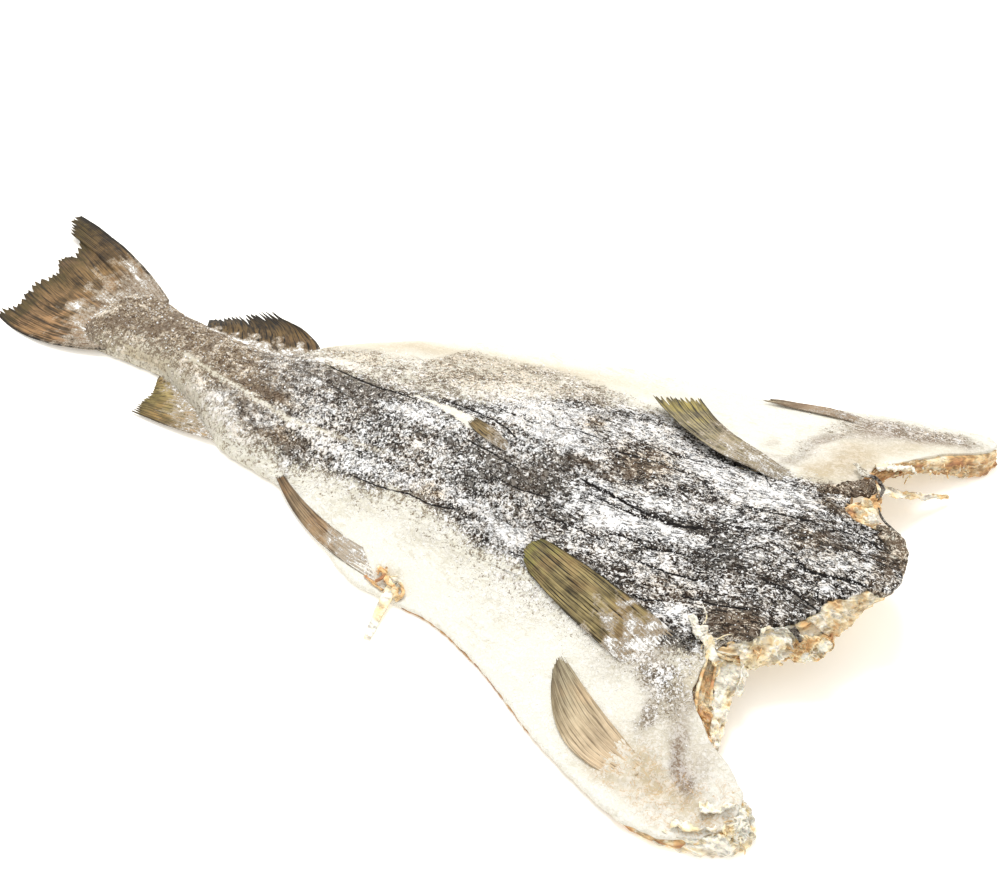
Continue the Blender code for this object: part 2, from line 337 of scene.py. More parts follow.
class Skin:
    """What shows on the skin: where it is dark, brown, salted or creased, and how high it stands."""

    near_bound = Profile((
        (-268, -26), (-235, -24), (-190, -22), (-150, -32), (-110, -50), (-85, -57), (-40, -57), (0, -57),
        (50, -57), (80, -63), (110, -73), (150, -80), (190, -90), (230, -97), (250, -92), (268, -82),
        (300, -70),
    ))
    ridge_bound = Profile(((-268, 80), (-110, 60), (-90, 30), (-60, 24), (0, 24), (30, 30), (60, 45),
                           (110, 80), (170, 90), (230, 76), (262, 74), (320, 80)))
    far_bound = Profile(((-268, 90), (-110, 70), (-95, 40), (-80, 58), (-40, 62), (-15, 72), (0, 100),
                         (40, 104), (80, 108), (120, 104), (170, 92), (215, 78), (262, 74), (320, 80)))

    SALTED = patches(
        (92, 42, 42, 18, 0.5, -4), (42, 56, 26, 12, 0.3, 10), (160, 62, 40, 13, 0.35),
        (238, 38, 26, 16, 0.55), (205, 42, 18, 12, 0.3), (178, -3, 38, 5, 0.45), (212, -23, 13, 6, 0.8, 5),
        (152, -14, 12, 4, 0.5, -5), (170, -24, 30, 7, 0.35), (262, -18, 7, 3, 0.5), (228, 6, 24, 6, 0.3, 4),
        (120, 22, 22, 7, 0.25), (8, -44, 34, 8, 0.35), (15, 6, 30, 8, 0.3, -8), (-30, -34, 30, 6, 0.3),
        (72, -44, 34, 7, 0.25), (122, -56, 22, 7, 0.35, -10), (105, -8, 12, 5, 0.2), (-120, 30, 34, 8, 0.3),
        (-60, 32, 20, 7, 0.35), (-262, 14, 12, 9, 0.4), (-245, 40, 12, 8, 0.35, 20), (300, -2, 18, 5, 0.2),
        (232, -72, 16, 6, 0.3, 30), (190, 22, 12, 8, 0.3), (285, 62, 8, 5, 0.4), (215, -48, 20, 5, 0.2),
        (210, -90, 22, 12, 0.3, -20), (268, 44, 18, 8, 0.4, 10), (190, -23, 26, 8, 0.35),
        (60, -18, 30, 7, 0.2), (-125, -34, 40, 9, 0.3, -25), (312, 4, 14, 5, 0.25), (308, -24, 14, 6, 0.2),
    )
    BARE = patches(
        (112, -14, 30, 11, 0.35, -3), (-28, 14, 34, 8, 0.4, -4), (172, 24, 16, 11, 0.4),
        (140, 8, 18, 6, 0.3), (246, -30, 18, 10, 0.35, 10), (292, 14, 22, 12, 0.3),
        (268, -62, 16, 11, 0.6, 20), (332, 20, 8, 26, 0.45), (60, -52, 26, 3, 0.35),
        (120, -75, 34, 3, 0.4, -6), (60, -12, 18, 8, 0.2), (282, 72, 12, 12, 0.6),
        # The patch at (225, 66) bares the skin along the far pectoral's lower edge: partly dark skin, partly
        # painted shadow of the fin.
        (-90, -16, 22, 5, 0.35, -3), (-66, -42, 22, 5, 0.3), (225, 66, 30, 6, 0.5, 8),
        (125, 52, 6, 10, 0.3), (300, -32, 18, 8, 0.25, 30), (210, -12, 22, 2.5, 0.4, 8),
        (296, -62, 14, 6, 0.3, 30), (-205, 12, 40, 14, 0.1), (190, -60, 26, 5, 0.2, -12),
        (242, -87, 13, 6, 0.5, -12), (289, 50, 12, 5, 0.15, -10), (126, 4, 20, 9, 0.3),
        (250, -12, 22, 7, 0.12), (286, 22, 28, 16, 0.16), (160, 16, 34, 18, 0.12), (60, 44, 60, 16, 0.10),
        (-205, 12, 30, 12, -0.1),
    )
    BROWN = patches(
        (170, 30, 20, 20, 0.8), (-92, -16, 22, 5, 0.8, -3), (-64, -43, 24, 6, 0.6, 4),
        (272, -62, 18, 10, 0.9, 20), (292, 12, 20, 12, 0.5), (332, 20, 8, 30, 0.7),
        (18, 84, 42, 16, 1.0, 4), (-58, 50, 28, 8, 0.9, 4), (124, 54, 8, 12, 0.8), (-215, 16, 66, 34, 0.9),
        (-140, -2, 50, 24, 0.5, -10), (283, 72, 14, 12, 0.8), (230, -55, 22, 9, 0.4, -5),
        (289, 50, 14, 5, 0.9, -10), (208, -86, 16, 12, 0.7, -20), (58, -46, 12, 5, 0.5),
        (-150, 10, 40, 20, 0.25), (140, 8, 18, 6, 0.4), (20, 60, 24, 10, 0.4), (95, 82, 26, 10, 0.35),
    )
    # Fine grey speckle over the pale skin.
    SPECKLE = patches(
        (228, -102, 28, 14, 0.42, -24), (252, -114, 14, 22, 0.42, 20), (249, -133, 6, 8, 0.30, 30),
        (298, 166, 36, 12, 0.42, 10), (262, 144, 14, 18, 0.36, -35), (246, 104, 8, 22, 0.26, -10),
        (334, 174, 20, 8, 0.32, 8), (60, -66, 70, 5, 0.16, -6),
    )
    # Soft grey and warm tints of the pale belly and collar, partly painted shade along the fold valleys of
    # the flaps.
    SHADE = patches(
        (276, -148, 5, 18, 0.8, 22), (281, -158, 6, 9, 0.7, 25), (264, -122, 8, 18, 0.5, 28),
        (280, -142, 14, 14, 0.14, 20), (246, -120, 9, 26, 0.45, 24), (249, -133, 4, 6, 0.4, 30),
        (288, -150, 10, 15, 0.32, 20), (302, 164, 32, 10, 0.85, 8), (280, 152, 20, 11, 0.6, 40),
        (330, 172, 20, 7, 0.5, 8), (232, -92, 16, 12, 0.35), (252, 104, 6, 30, 0.4, -14),
        (222, -108, 22, 12, 0.25), (228, 104, 5, 10, 0.35, 10), (240, 84, 20, 6, 0.3),
        (60, -72, 60, 5, 0.1, -8), (258, 128, 5, 16, 0.45, -40), (318, 158, 16, 5, 0.3, 30),
        (281, 108, 14, 26, 0.12, -10), (20, 92, 70, 12, 0.22, 10), (-50, 62, 46, 9, 0.22, 20),
        (262, 108, 24, 30, 0.13, -10), (298, 148, 26, 14, 0.12, 30),
    )
    WARM = patches(
        (281, 108, 18, 34, 1.0, -10), (264, 84, 9, 14, 0.7), (260, -100, 8, 24, 0.6, 8),
        (262, -78, 10, 5, 0.8), (296, -170, 22, 10, 0.8, -10), (262, -162, 18, 9, 0.5, -30),
        (246, -172, 30, 6, 0.5, -16), (306, 142, 16, 14, 0.6, 45), (62, -106, 8, 6, 0.6),
        (-215, -16, 70, 9, 0.95), (-140, -34, 40, 8, 0.35, -30), (268, 176, 30, 5, 0.25, 8),
        (238, -164, 16, 6, 0.5, -10), (330, 158, 26, 12, 0.4, 30), (262, -126, 34, 44, 0.12, 10),
        (262, -158, 22, 9, 0.35, -30), (270, -148, 32, 24, 0.26, 10), (-60, 72, 60, 12, 0.5, 30),
        (20, 98, 80, 14, 0.5, 12), (110, 120, 60, 14, 0.4, 8),
    )
    CRUMPLED = patches(
        (286, -172, 28, 15, 1.0, -5), (306, -164, 15, 16, 1.0), (246, -170, 18, 6, 0.8, -14),
        (268, -158, 16, 9, 0.6, -30), (262, -82, 12, 6, 0.6, -20), (62, -108, 14, 6, 0.6, -20),
        (250, -166, 26, 8, 0.6, -18), (268, -162, 34, 14, 0.8, -20), (240, -156, 22, 8, 0.5, -30),
    )
    CREASES = (
        Trail(((-72, 27), (-45, 22), (-20, 19), (-6, 20), (8, 18)), 1.3, 0.6, 0.4),
        Trail(((22, 27), (45, 26), (62, 23), (78, 18), (92, 9)), 1.2, 0.8, 0.5),
        Trail(((58, 38), (70, 35), (80, 33)), 1.0, 0.8),
        Trail(((81, 38), (83, 33), (89, 31), (97, 34)), 1.1, 1.1),
        Trail(((99, 36), (110, 34), (120, 38), (136, 37)), 1.0, 0.7),
        Trail(((140, -4), (160, -8), (182, -12), (205, -15), (218, -13), (230, -9)), 1.3, 1.0, 1.6),
        Trail(((150, -12), (172, -16), (196, -17)), 1.2, 0.9, 0.6),
        Trail(((282, -6), (292, -12), (302, -12), (314, -9), (331, -7)), 1.5, 2.2, 0.8),
        Trail(((286, -9), (278, -4), (268, -2)), 1.0, 0.8),
        Trail(((296, -12), (302, -20), (306, -30)), 1.0, 0.9),
        Trail(((312, -14), (318, -20), (322, -26)), 1.0, 0.8), Trail(((198, -27), (206, -23)), 1.2, 0.8),
        Trail(((208, -67), (216, -68), (226, -64)), 1.3, 1.0),
        Trail(((239, 62), (243, 55), (248, 49)), 1.0, 1.0),
        Trail(((0, -50), (22, -53), (46, -52), (62, -54), (84, -50)), 1.0, 0.5, 0.3),
        Trail(((96, -72), (112, -75), (128, -77), (140, -78)), 0.9, 0.5, 0.4),
        # Crease along the far pectoral's lower edge; with the bare patch at (225, 66) its dark band is partly
        # painted shadow of the fin.
        Trail(((206, 62), (222, 61), (240, 64), (252, 71)), 2.2, 1.2, -0.8),
        Trail(((150, 50), (176, 48), (204, 52)), 1.2, 0.7), Trail(((128, 62), (150, 60)), 1.0, 0.6),
        Trail(((240, 20), (262, 24), (284, 30)), 1.3, 0.9, 0.5),
        Trail(((226, -2), (248, 2), (270, 10)), 1.2, 0.9),
        Trail(((180, -34), (204, -36), (230, -32)), 1.2, 0.8),
        Trail(((196, -46), (222, -48), (246, -44)), 1.2, 0.8),
        Trail(((232, -58), (254, -56), (276, -50)), 1.3, 0.9),
        Trail(((130, -36), (156, -38), (178, -42)), 1.2, 0.7),
        Trail(((90, -22), (112, -25), (134, -24)), 1.1, 0.6),
        Trail(((270, -30), (290, -30), (308, -36)), 1.2, 0.9),
        Trail(((60, -2), (82, -6), (104, -12)), 1.1, 0.6),
        Trail(((150, 30), (176, 34), (200, 32)), 1.2, 0.7),
        Trail(((296, 30), (312, 30), (328, 24)), 1.3, 0.9),
        Trail(((300, 16), (318, 14), (334, 12)), 1.2, 0.7),
    )
    # Broad valleys of the flaps, too wide to be drawn as dark lines.
    FOLDS = (
        Trail(((270, -170), (276, -156), (279, -140), (276, -126)), 5.0, 2.4),
        Trail(((252, -148), (250, -130), (246, -112)), 4.5, 1.5),
        Trail(((288, -172), (291, -158), (290, -148)), 3.5, 1.4),
        Trail(((262, -140), (259, -120), (257, -102)), 4.0, -1.5),
        Trail(((252, 76), (254, 96), (252, 114), (262, 134), (276, 150)), 4.5, 2.0),
        Trail(((268, 158), (290, 157), (316, 162), (338, 168)), 5.0, 1.6),
    )
    # The pale first back fin, folded flat on the skin.
    FLAT_FIN = Trail(((6, 22), (24, 20.5), (40, 17.5), (57, 12)), 1.0, 0.0)
    LATERAL_LINE = Trail(
        ((-168, -7), (-152, -11), (-132, -16), (-112, -20), (-88, -25), (-62, -29), (-34, -28), (-8, -28),
         (14, -29), (44, -33), (76, -36)), 2.4, -0.6,
    )

    @classmethod
    def zones(cls, x: Array, y: Array) -> dict[str, Array]:
        """How the skin is coloured at each point.

        Args:
            x: coordinates along the fish.
            y: coordinates across it.

        Returns:
            pigment, brown, salt, streak, warm, shade, crumple and groove, each from 0 to 1, and crease, the
            signed distance to the nearest crease in half widths of it, up to FAR_FROM_CREASE.
        """
        wobble = 4.5 * WARP(x, y, 30, 3) + 2.0 * EDGE(x, y, 7, 2)
        fade = 15 + 17 * smooth_step(40, 130, -x)
        near = smooth_step(-0.35, 1.0, (y - cls.near_bound(x) + wobble) / fade)
        ridge = smooth_step(-8, 14, cls.ridge_bound(x) - y + wobble)
        far = smooth_step(-14, 12, cls.far_bound(x) - y + wobble)
        fringe = smooth_step(-36, 2, y - cls.near_bound(x) + wobble)
        flank = 0.58 + 0.16 * WARP(x / 2 + 60, y, 20, 2)
        pigment = near * far * (flank + (1 - flank) * ridge)
        pigment = pigment + (0.10 + 0.24 * smooth_step(-150, -60, x)) * fringe * (1 - near)
        pigment = np.clip(np.maximum(pigment, total_weight(cls.SPECKLE, x, y)), 0.0, 1.0)
        beads = np.clip(0.75 + 0.5 * FINE(x, y, 4, 2), 0, 1)
        lateral = cls.LATERAL_LINE.groove(x, y) * smooth_step(-80, 60, -x) * beads
        pigment *= 1 - 0.85 * lateral
        away, _, share = cls.FLAT_FIN.nearest(x, y)
        strip = smooth_step(1.5, 0.3, away - 3.9 * smooth_step(0.1, 0.95, share) + 0.9 * FINE(x, y, 5, 2))
        pigment *= 1 - strip
        groove = np.max([trail.groove(x, y, 1.5) for trail in cls.CREASES], axis=0)
        crease = np.full(x.shape, FAR_FROM_CREASE)
        for trail in cls.CREASES:
            away, side, share = trail.nearest(x, y)
            thin = 0.25 * (trail.width + trail.depth) * np.clip(10 * share * (1 - share) + 0.25, 0, 1)
            crease = np.where(away / thin < np.abs(crease), side * away / thin, crease)
        clumps = 0.10 * CRUST(x / 1.5, y, 34, 2) + 0.13 * CRUST(x / 1.8 + 50, y, 9, 2)
        plain = 0.455 + 0.085 * smooth_step(70, 160, x) - 0.08 * smooth_step(70, 190, -x)
        salt = plain + clumps + 0.72 * total_weight(cls.SALTED, x, y) - 0.62 * total_weight(cls.BARE, x, y)
        salt = salt + 0.14 * np.exp(-((crease / 3) ** 2)) - 0.2 * groove - 0.06 * cls.folds(x, y)
        far_side = 0.45 * smooth_step(-10, 25, y - cls.ridge_bound(x)) * smooth_step(-110, -60, x)
        brown = 0.18 + far_side + 0.25 * smooth_step(0, 120, -x) + total_weight(cls.BROWN, x, y)
        brown = brown + 0.2 * WARP(x + 90, y, 40, 2)
        warm = np.clip(total_weight(cls.WARM, x, y) + 0.3 * lateral + 0.25 * strip, 0, 1)
        streak = smooth_step(60, 170, x) * near
        return {
            "pigment": pigment,
            "brown": np.clip(brown, 0, 1),
            "salt": np.clip(salt, 0.27, 0.98),
            "streak": streak,
            "warm": warm,
            "shade": np.clip(total_weight(cls.SHADE, x, y), 0, 1),
            "crumple": np.clip(total_weight(cls.CRUMPLED, x, y), 0, 1),
            "groove": groove,
            "crease": crease,
        }

    @staticmethod
    def crust(x: Array, y: Array, salt: Array) -> Array:
        """1 where the crust of salt is thick, 0 where it is thin."""
        return smooth_step(-0.25, 0.4, CRUST(x, y, 5, 2) + 1.6 * (salt - 0.5))

    @staticmethod
    def folds(x: Array, y: Array) -> Array:
        """1 in the valleys of the long wrinkles of the shoulders, 0 on their ridges."""
        from_back = y - Board.back_line(x) + 3 * WARP(x, y, 40)
        wave = BROAD(x / 5 + 7, from_back, 9, 2)
        return np.exp(-((wave / 0.13) ** 2)) * smooth_step(70, 190, x)

    @classmethod
    def form(cls, x: Array, y: Array) -> Array:
        """Height of the skin without its fine relief: the board, its swells and its broad folds."""
        across = Board.across(x, y)
        calm = 1 - 0.85 * smooth_step(0.5, 0.95, across) - 0.6 * smooth_step(0.9, 1.0, -across)
        swell = 1.1 * BROAD(x, y, 48, 2) + 0.5 * BROAD(x + 300, y, 17, 2)
        for fold in cls.FOLDS:
            swell = swell - fold.depth * fold.groove(x, y)
        return Board.top(x, y) + calm * swell - 3.5 * smooth_step(246, 268, -x)

    @classmethod
    def relief(cls, x: Array, y: Array, zones: dict[str, Array]) -> Array:
        """Fine height of the skin above its form, in millimetres."""
        dark = zones["pigment"]
        wrinkles = -0.5 * cls.folds(x, y) * dark
        crust = cls.crust(x, y, zones["salt"]) * (0.05 + 0.5 * dark)
        crust = crust + 0.22 * FINE(x, y, 2.8, 2) * (0.1 + dark)
        creased = 0.25 - np.abs(EDGE(x * 0.8, y, 7, 3))
        height = wrinkles + crust + 2.6 * creased * zones["crumple"]
        for crease in cls.CREASES:
            away, side, share = crease.nearest(x, y)
            ends = np.clip(8 * share * (1 - share) + 0.1, 0, 1)
            fold = crease.lip * np.exp(-((away / (crease.width * 3.5)) ** 2)) * (side > 0)
            height += ends * (fold - crease.depth * np.exp(-((away / crease.width) ** 2)))
        away, _, _ = cls.LATERAL_LINE.nearest(x, y)
        return height + 0.5 * np.exp(-((away / 3.0) ** 2)) * smooth_step(-60, 60, -x)

    @classmethod
    def height(cls, x: Array, y: Array) -> Array:
        """Height of the finished skin, in millimetres above the table."""
        share = np.abs(Board.across(x, y))
        calm = 1 - 0.6 * smooth_step(0.9, 1.0, share)
        return cls.form(x, y) + calm * cls.relief(x, y, cls.zones(x, y))


# ---- Finishes ----


class Signal:
    """What a node gives. Sums, differences, products and abs() of signals each add a Math node."""

    def __init__(self, graph: "Graph", socket: NodeSocket) -> None:
        """Takes the socket and the graph it is in."""
        self.graph = graph
        self.socket = socket

    def __add__(self, other: object) -> "Signal":
        """Sum."""
        return self.graph.math("ADD", self, other)

    def __sub__(self, other: object) -> "Signal":
        """Difference."""
        return self.graph.math("SUBTRACT", self, other)

    def __rsub__(self, other: object) -> "Signal":
        """Difference from a plain number."""
        return self.graph.math("SUBTRACT", other, self)

    def __mul__(self, other: object) -> "Signal":
        """Product."""
        return self.graph.math("MULTIPLY", self, other)

    def __abs__(self) -> "Signal":
        """Size without its sign."""
        return self.graph.math("ABSOLUTE", self)

    def remap(
        self, low: float, high: float, to_low: float = 0.0, to_high: float = 1.0, ramp: str = "SMOOTHSTEP"
    ) -> "Signal":
        """The number moved from one range to another and held there."""
        inputs = {"Value": self, 1: low, 2: high, 3: to_low, 4: to_high}
        return self.graph.add("MapRange", inputs, interpolation_type=ramp)


class Graph:
    """Writes the nodes of one tree."""

    def __init__(self, tree: NodeTree) -> None:
        """Takes the tree to write in."""
        self.tree = tree

    def add(self, kind: str, inputs: dict | None = None, take: int | str = 0, **settings: object) -> Signal:
        """Adds a shader node.

        Args:
            kind: the node's type, without ShaderNode.
            inputs: socket name or number to a value, or to the signal that feeds it.
            take: which output is wanted.
            settings: properties of the node.

        Returns:
            That output.
        """
        node = self.tree.nodes.new("ShaderNode" + kind)
        for name, value in settings.items():
            setattr(node, name, value)
        self.fill(node, inputs or {})
        return Signal(self, node.outputs[take])

    def fill(self, node: Node, inputs: dict) -> None:
        """Links each named input of a node to its signal, or sets its value."""
        for name, value in inputs.items():
            socket = node.inputs[name]
            if isinstance(value, Signal):
                self.tree.links.new(value.socket, socket)
            elif socket.type == "RGBA":
                socket.default_value = (*value, 1.0)
            else:
                socket.default_value = value

    def math(self, operation: str, a: object, b: object = 0.0, clamp: bool = False) -> Signal:
        """Result of a Math node."""
        return self.add("Math", {0: a, 1: b}, operation=operation, use_clamp=clamp)

    def mix(self, share: object, a: object, b: object, blend: str = "MIX") -> Signal:
        """Colour between a and b."""
        return self.add("Mix", {0: share, 6: a, 7: b}, 2, data_type="RGBA", blend_type=blend)

    def blend(self, share: object, a: object, b: object) -> Signal:
        """Number between a and b."""
        return self.add("Mix", {0: share, 2: a, 3: b}, data_type="FLOAT")

    def noise(
        self, vector: Signal, scale: float, detail: float = 2.0, rough: float = 0.5, twist: float = 0.0
    ) -> Signal:
        """Noise of about 0 to 1 on a vector."""
        inputs = {"Vector": vector, "Scale": scale, "Detail": detail, "Roughness": rough, "Distortion": twist}
        return self.add("TexNoise", inputs, "Fac")

    def stretch(self, vector: Signal, along: float, across: float = 1.0, up: float = 1.0) -> Signal:
        """A vector with its parts scaled."""
        return self.add("VectorMath", {0: vector, 1: (along, across, up)}, operation="MULTIPLY")

    def split(self, vector: Signal) -> tuple[Signal, Signal]:
        """The first two parts of a vector."""
        first = self.add("SeparateXYZ", {0: vector})
        return first, Signal(self, first.socket.node.outputs[1])

    def ramp(self, place: Signal, stops: Sequence[tuple[float, Colour]]) -> Signal:
        """Colour at a place on a colour ramp, from the position and colour of each stop."""
        colour = self.add("ValToRGB", {0: place})
        elements = colour.socket.node.color_ramp.elements
        while len(elements) < len(stops):
            elements.new(1.0)
        for element, (position, shade) in zip(elements, stops):
            element.position = position
            element.color = (*shade, 1.0)
        return colour

    def attribute(self, name: str, take: str = "Fac") -> Signal:
        """A number that the piece's mesh holds, or a vector."""
        return self.add("Attribute", take=take, attribute_name=name)

    def object_point(self) -> Signal:
        """The point's object coordinates."""
        return self.add("TexCoord", take="Object")

    def bump(self, height: Signal, strength: float, distance: float) -> Signal:
        """Normal for a height, with distance in metres."""
        return self.add("Bump", {"Height": height, "Strength": strength, "Distance": distance})

    def group(self, tree: NodeTree, inputs: dict) -> dict[str, Signal]:
        """Places a node group in this tree and gives its outputs by name."""
        node = self.tree.nodes.new("ShaderNodeGroup")
        node.node_tree = tree
        self.fill(node, inputs)
        return {socket.name: Signal(self, socket) for socket in node.outputs}


# The level above which a fleck of salt shows, as the cover goes from 0 to 1.
FLECK_LEVEL = (0.0, 1.0, 0.64, 0.37, "LINEAR")


class Effect:
    """Node groups that the finishes place, each built once."""

    @staticmethod
    def start(
        name: str, inputs: dict[str, float | None], outputs: Sequence[str]
    ) -> tuple[Graph, dict[str, Signal], Node]:
        """Makes an empty group.

        Args:
            name: the group's name.
            inputs: each input's first value, or None for a vector.
            outputs: names of the outputs, which are numbers apart from one called Color.

        Returns:
            The graph to write in, its inputs by name, and its output node.
        """
        tree = bpy.data.node_groups.new(name, "ShaderNodeTree")
        for key, value in inputs.items():
            kind = "NodeSocketVector" if value is None else "NodeSocketFloat"
            socket = tree.interface.new_socket(key, in_out="INPUT", socket_type=kind)
            if value is not None:
                socket.default_value = value
        for key in outputs:
            kind = "NodeSocketColor" if key == "Color" else "NodeSocketFloat"
            tree.interface.new_socket(key, in_out="OUTPUT", socket_type=kind)
        graph, given = Graph(tree), tree.nodes.new("NodeGroupInput")
        made = tree.nodes.new("NodeGroupOutput")
        return graph, {key: Signal(graph, given.outputs[key]) for key in inputs}, made

    @classmethod
    @cache
    def salt_crust(cls) -> NodeTree:
        """White flecks of salt with a thinner dust round them, round or drawn out along the fish.

        Returns:
            The group: Vector, Flow, Streak and Cover in, Mask, Dust and Relief out.
        """
        inputs = {"Vector": None, "Flow": None, "Streak": 0.0, "Cover": 0.5}
        graph, given, made = cls.start("salt_crust", inputs, ("Mask", "Dust", "Relief"))
        point, flow, streak = given["Vector"], given["Flow"], given["Streak"]
        fine = graph.split(flow)[0].remap(-0.15, -0.01)
        coarse_flecks = graph.noise(point, 380, 4.0, 0.72, 1.2)
        round_flecks = graph.blend(fine, coarse_flecks, graph.noise(point, 500, 2.0, 0.75, 0.8))
        drawn = graph.stretch(flow, 0.6)
        worms = 0.62 - abs(graph.noise(drawn, 400, 1.0, 0.5, 1.2) - 0.5) * 1.4
        long_flecks = graph.blend(0.25, graph.noise(drawn, 520, 2.5, 0.78, 1.2), worms)
        gain = streak * (1.0 - streak) * 1.4 + 1.0 + streak * 0.35
        flecks = (graph.blend(streak, round_flecks, long_flecks) - 0.5) * gain + 0.5
        clots = graph.noise(graph.stretch(flow, 0.7), 170, 2, 0.5, 0.6)
        above = graph.blend(0.22, flecks, clots) - given["Cover"].remap(*FLECK_LEVEL)
        graph.fill(made, {
            "Mask": graph.blend(fine, above.remap(-0.01, 0.07), above.remap(0.006, 0.030)),
            "Dust": graph.blend(fine, above.remap(-0.12, -0.01), above.remap(-0.050, -0.024)),
            "Relief": above.remap(-0.12, 0.14),
        })
        return graph.tree

    @classmethod
    @cache
    def fibres(cls) -> NodeTree:
        """Strands of dried muscle: pale to amber streaks with dry white bloom, and painted shade where their
        relief is low.

        Returns:
            The group: Vector, Warmth and Depth in, Color and Relief out.
        """
        inputs = {"Vector": None, "Warmth": 0.3, "Depth": 0.0}
        graph, given, made = cls.start("fibres", inputs, ("Color", "Relief"))
        point = given["Vector"]
        strands = graph.noise(graph.stretch(point, 0.35, 0.8, 1.6), 420, 3, 0.6)
        blotches = graph.noise(point, 95, 3, 0.55)
        pits = graph.noise(point, 170, 2, 0.5)
        warmed = graph.ramp(given["Warmth"] + blotches.remap(0.3, 0.7, -0.28, 0.28), (
            (0.0, (0.86, 0.82, 0.71)), (0.28, (0.87, 0.72, 0.45)),
            (0.55, (0.74, 0.46, 0.20)), (0.85, (0.50, 0.22, 0.10)),
        ))
        # Darker where the relief is low: painted shade in the pits and between the strands.
        shade = graph.blend(0.35, strands, pits).remap(0.37, 0.57, 0.50, 1.08)
        grey = graph.add("CombineColor", {0: shade, 1: shade, 2: shade})
        deep = graph.mix(given["Depth"], graph.mix(1.0, warmed, grey, "MULTIPLY"), (0.27, 0.145, 0.075))
        bloom = graph.noise(point, 360, 3, 0.6).remap(0.56, 0.66) * blotches.remap(0.62, 0.42)
        graph.fill(made, {
            "Color": graph.mix(bloom * 0.45, deep, (0.90, 0.87, 0.80)),
            "Relief": graph.blend(0.3, strands, pits),
        })
        return graph.tree

    @classmethod
    @cache
    def rays(cls) -> NodeTree:
        """Fine lines that run along a fin.

        Returns:
            The group: Shares (u along the rays, v across) and Count in, Lines, Gaps, Dust and Relief out.
        """
        outputs = ("Lines", "Gaps", "Dust", "Relief")
        graph, given, made = cls.start("rays", {"Shares": None, "Count": 20.0}, outputs)
        along, across = graph.split(given["Shares"])
        across = across * given["Count"]

        def ray_noise(stretch_along: float, stretch_across: float, detail: float) -> Signal:
            """Noise drawn out along the rays."""
            place = graph.add("CombineXYZ", {0: along * stretch_along, 1: across * stretch_across})
            return graph.noise(place, 1.0, detail, 0.65)

        def comb(value: Signal) -> Signal:
            """0 half way between whole numbers, 1 on them."""
            return abs(graph.math("FRACT", value) - 0.5) * 2.0

        wandering = across + (ray_noise(2.5, 0.35, 1) - 0.5) * 1.5
        forks = comb(wandering * 2.0) * along.remap(0.3, 0.7, 0.0, 0.55)
        gaps = graph.math("MAXIMUM", comb(wandering + 0.5), forks)
        uneven = (ray_noise(3.2, 1.1, 3) - 0.5) * 1.7
        streaks = graph.blend(0.5, ray_noise(2.2, 0.8, 4), ray_noise(4.0, 2.4, 3))
        graph.fill(made, {
            "Lines": streaks.remap(0.42, 0.57),
            "Gaps": (gaps + uneven).remap(0.70, 0.98),
            "Dust": ray_noise(9.0, 1.1, 4),
            "Relief": 1.0 - gaps,
        })
        return graph.tree


def new_material(name: str) -> tuple[Material, Graph, Node]:
    """A new material, its graph and its shader node."""
    material = bpy.data.materials.new(name)
    material.use_nodes = True
    return material, Graph(material.node_tree), material.node_tree.nodes["Principled BSDF"]


@dataclass(frozen=True)
class SkinReading:
    """What the skin's finish reads: the point, the way along the fish, fine spots and the mesh's zones."""

    graph: Graph
    point: Signal
    flow: Signal
    spots: Signal
    zone: dict[str, Signal]


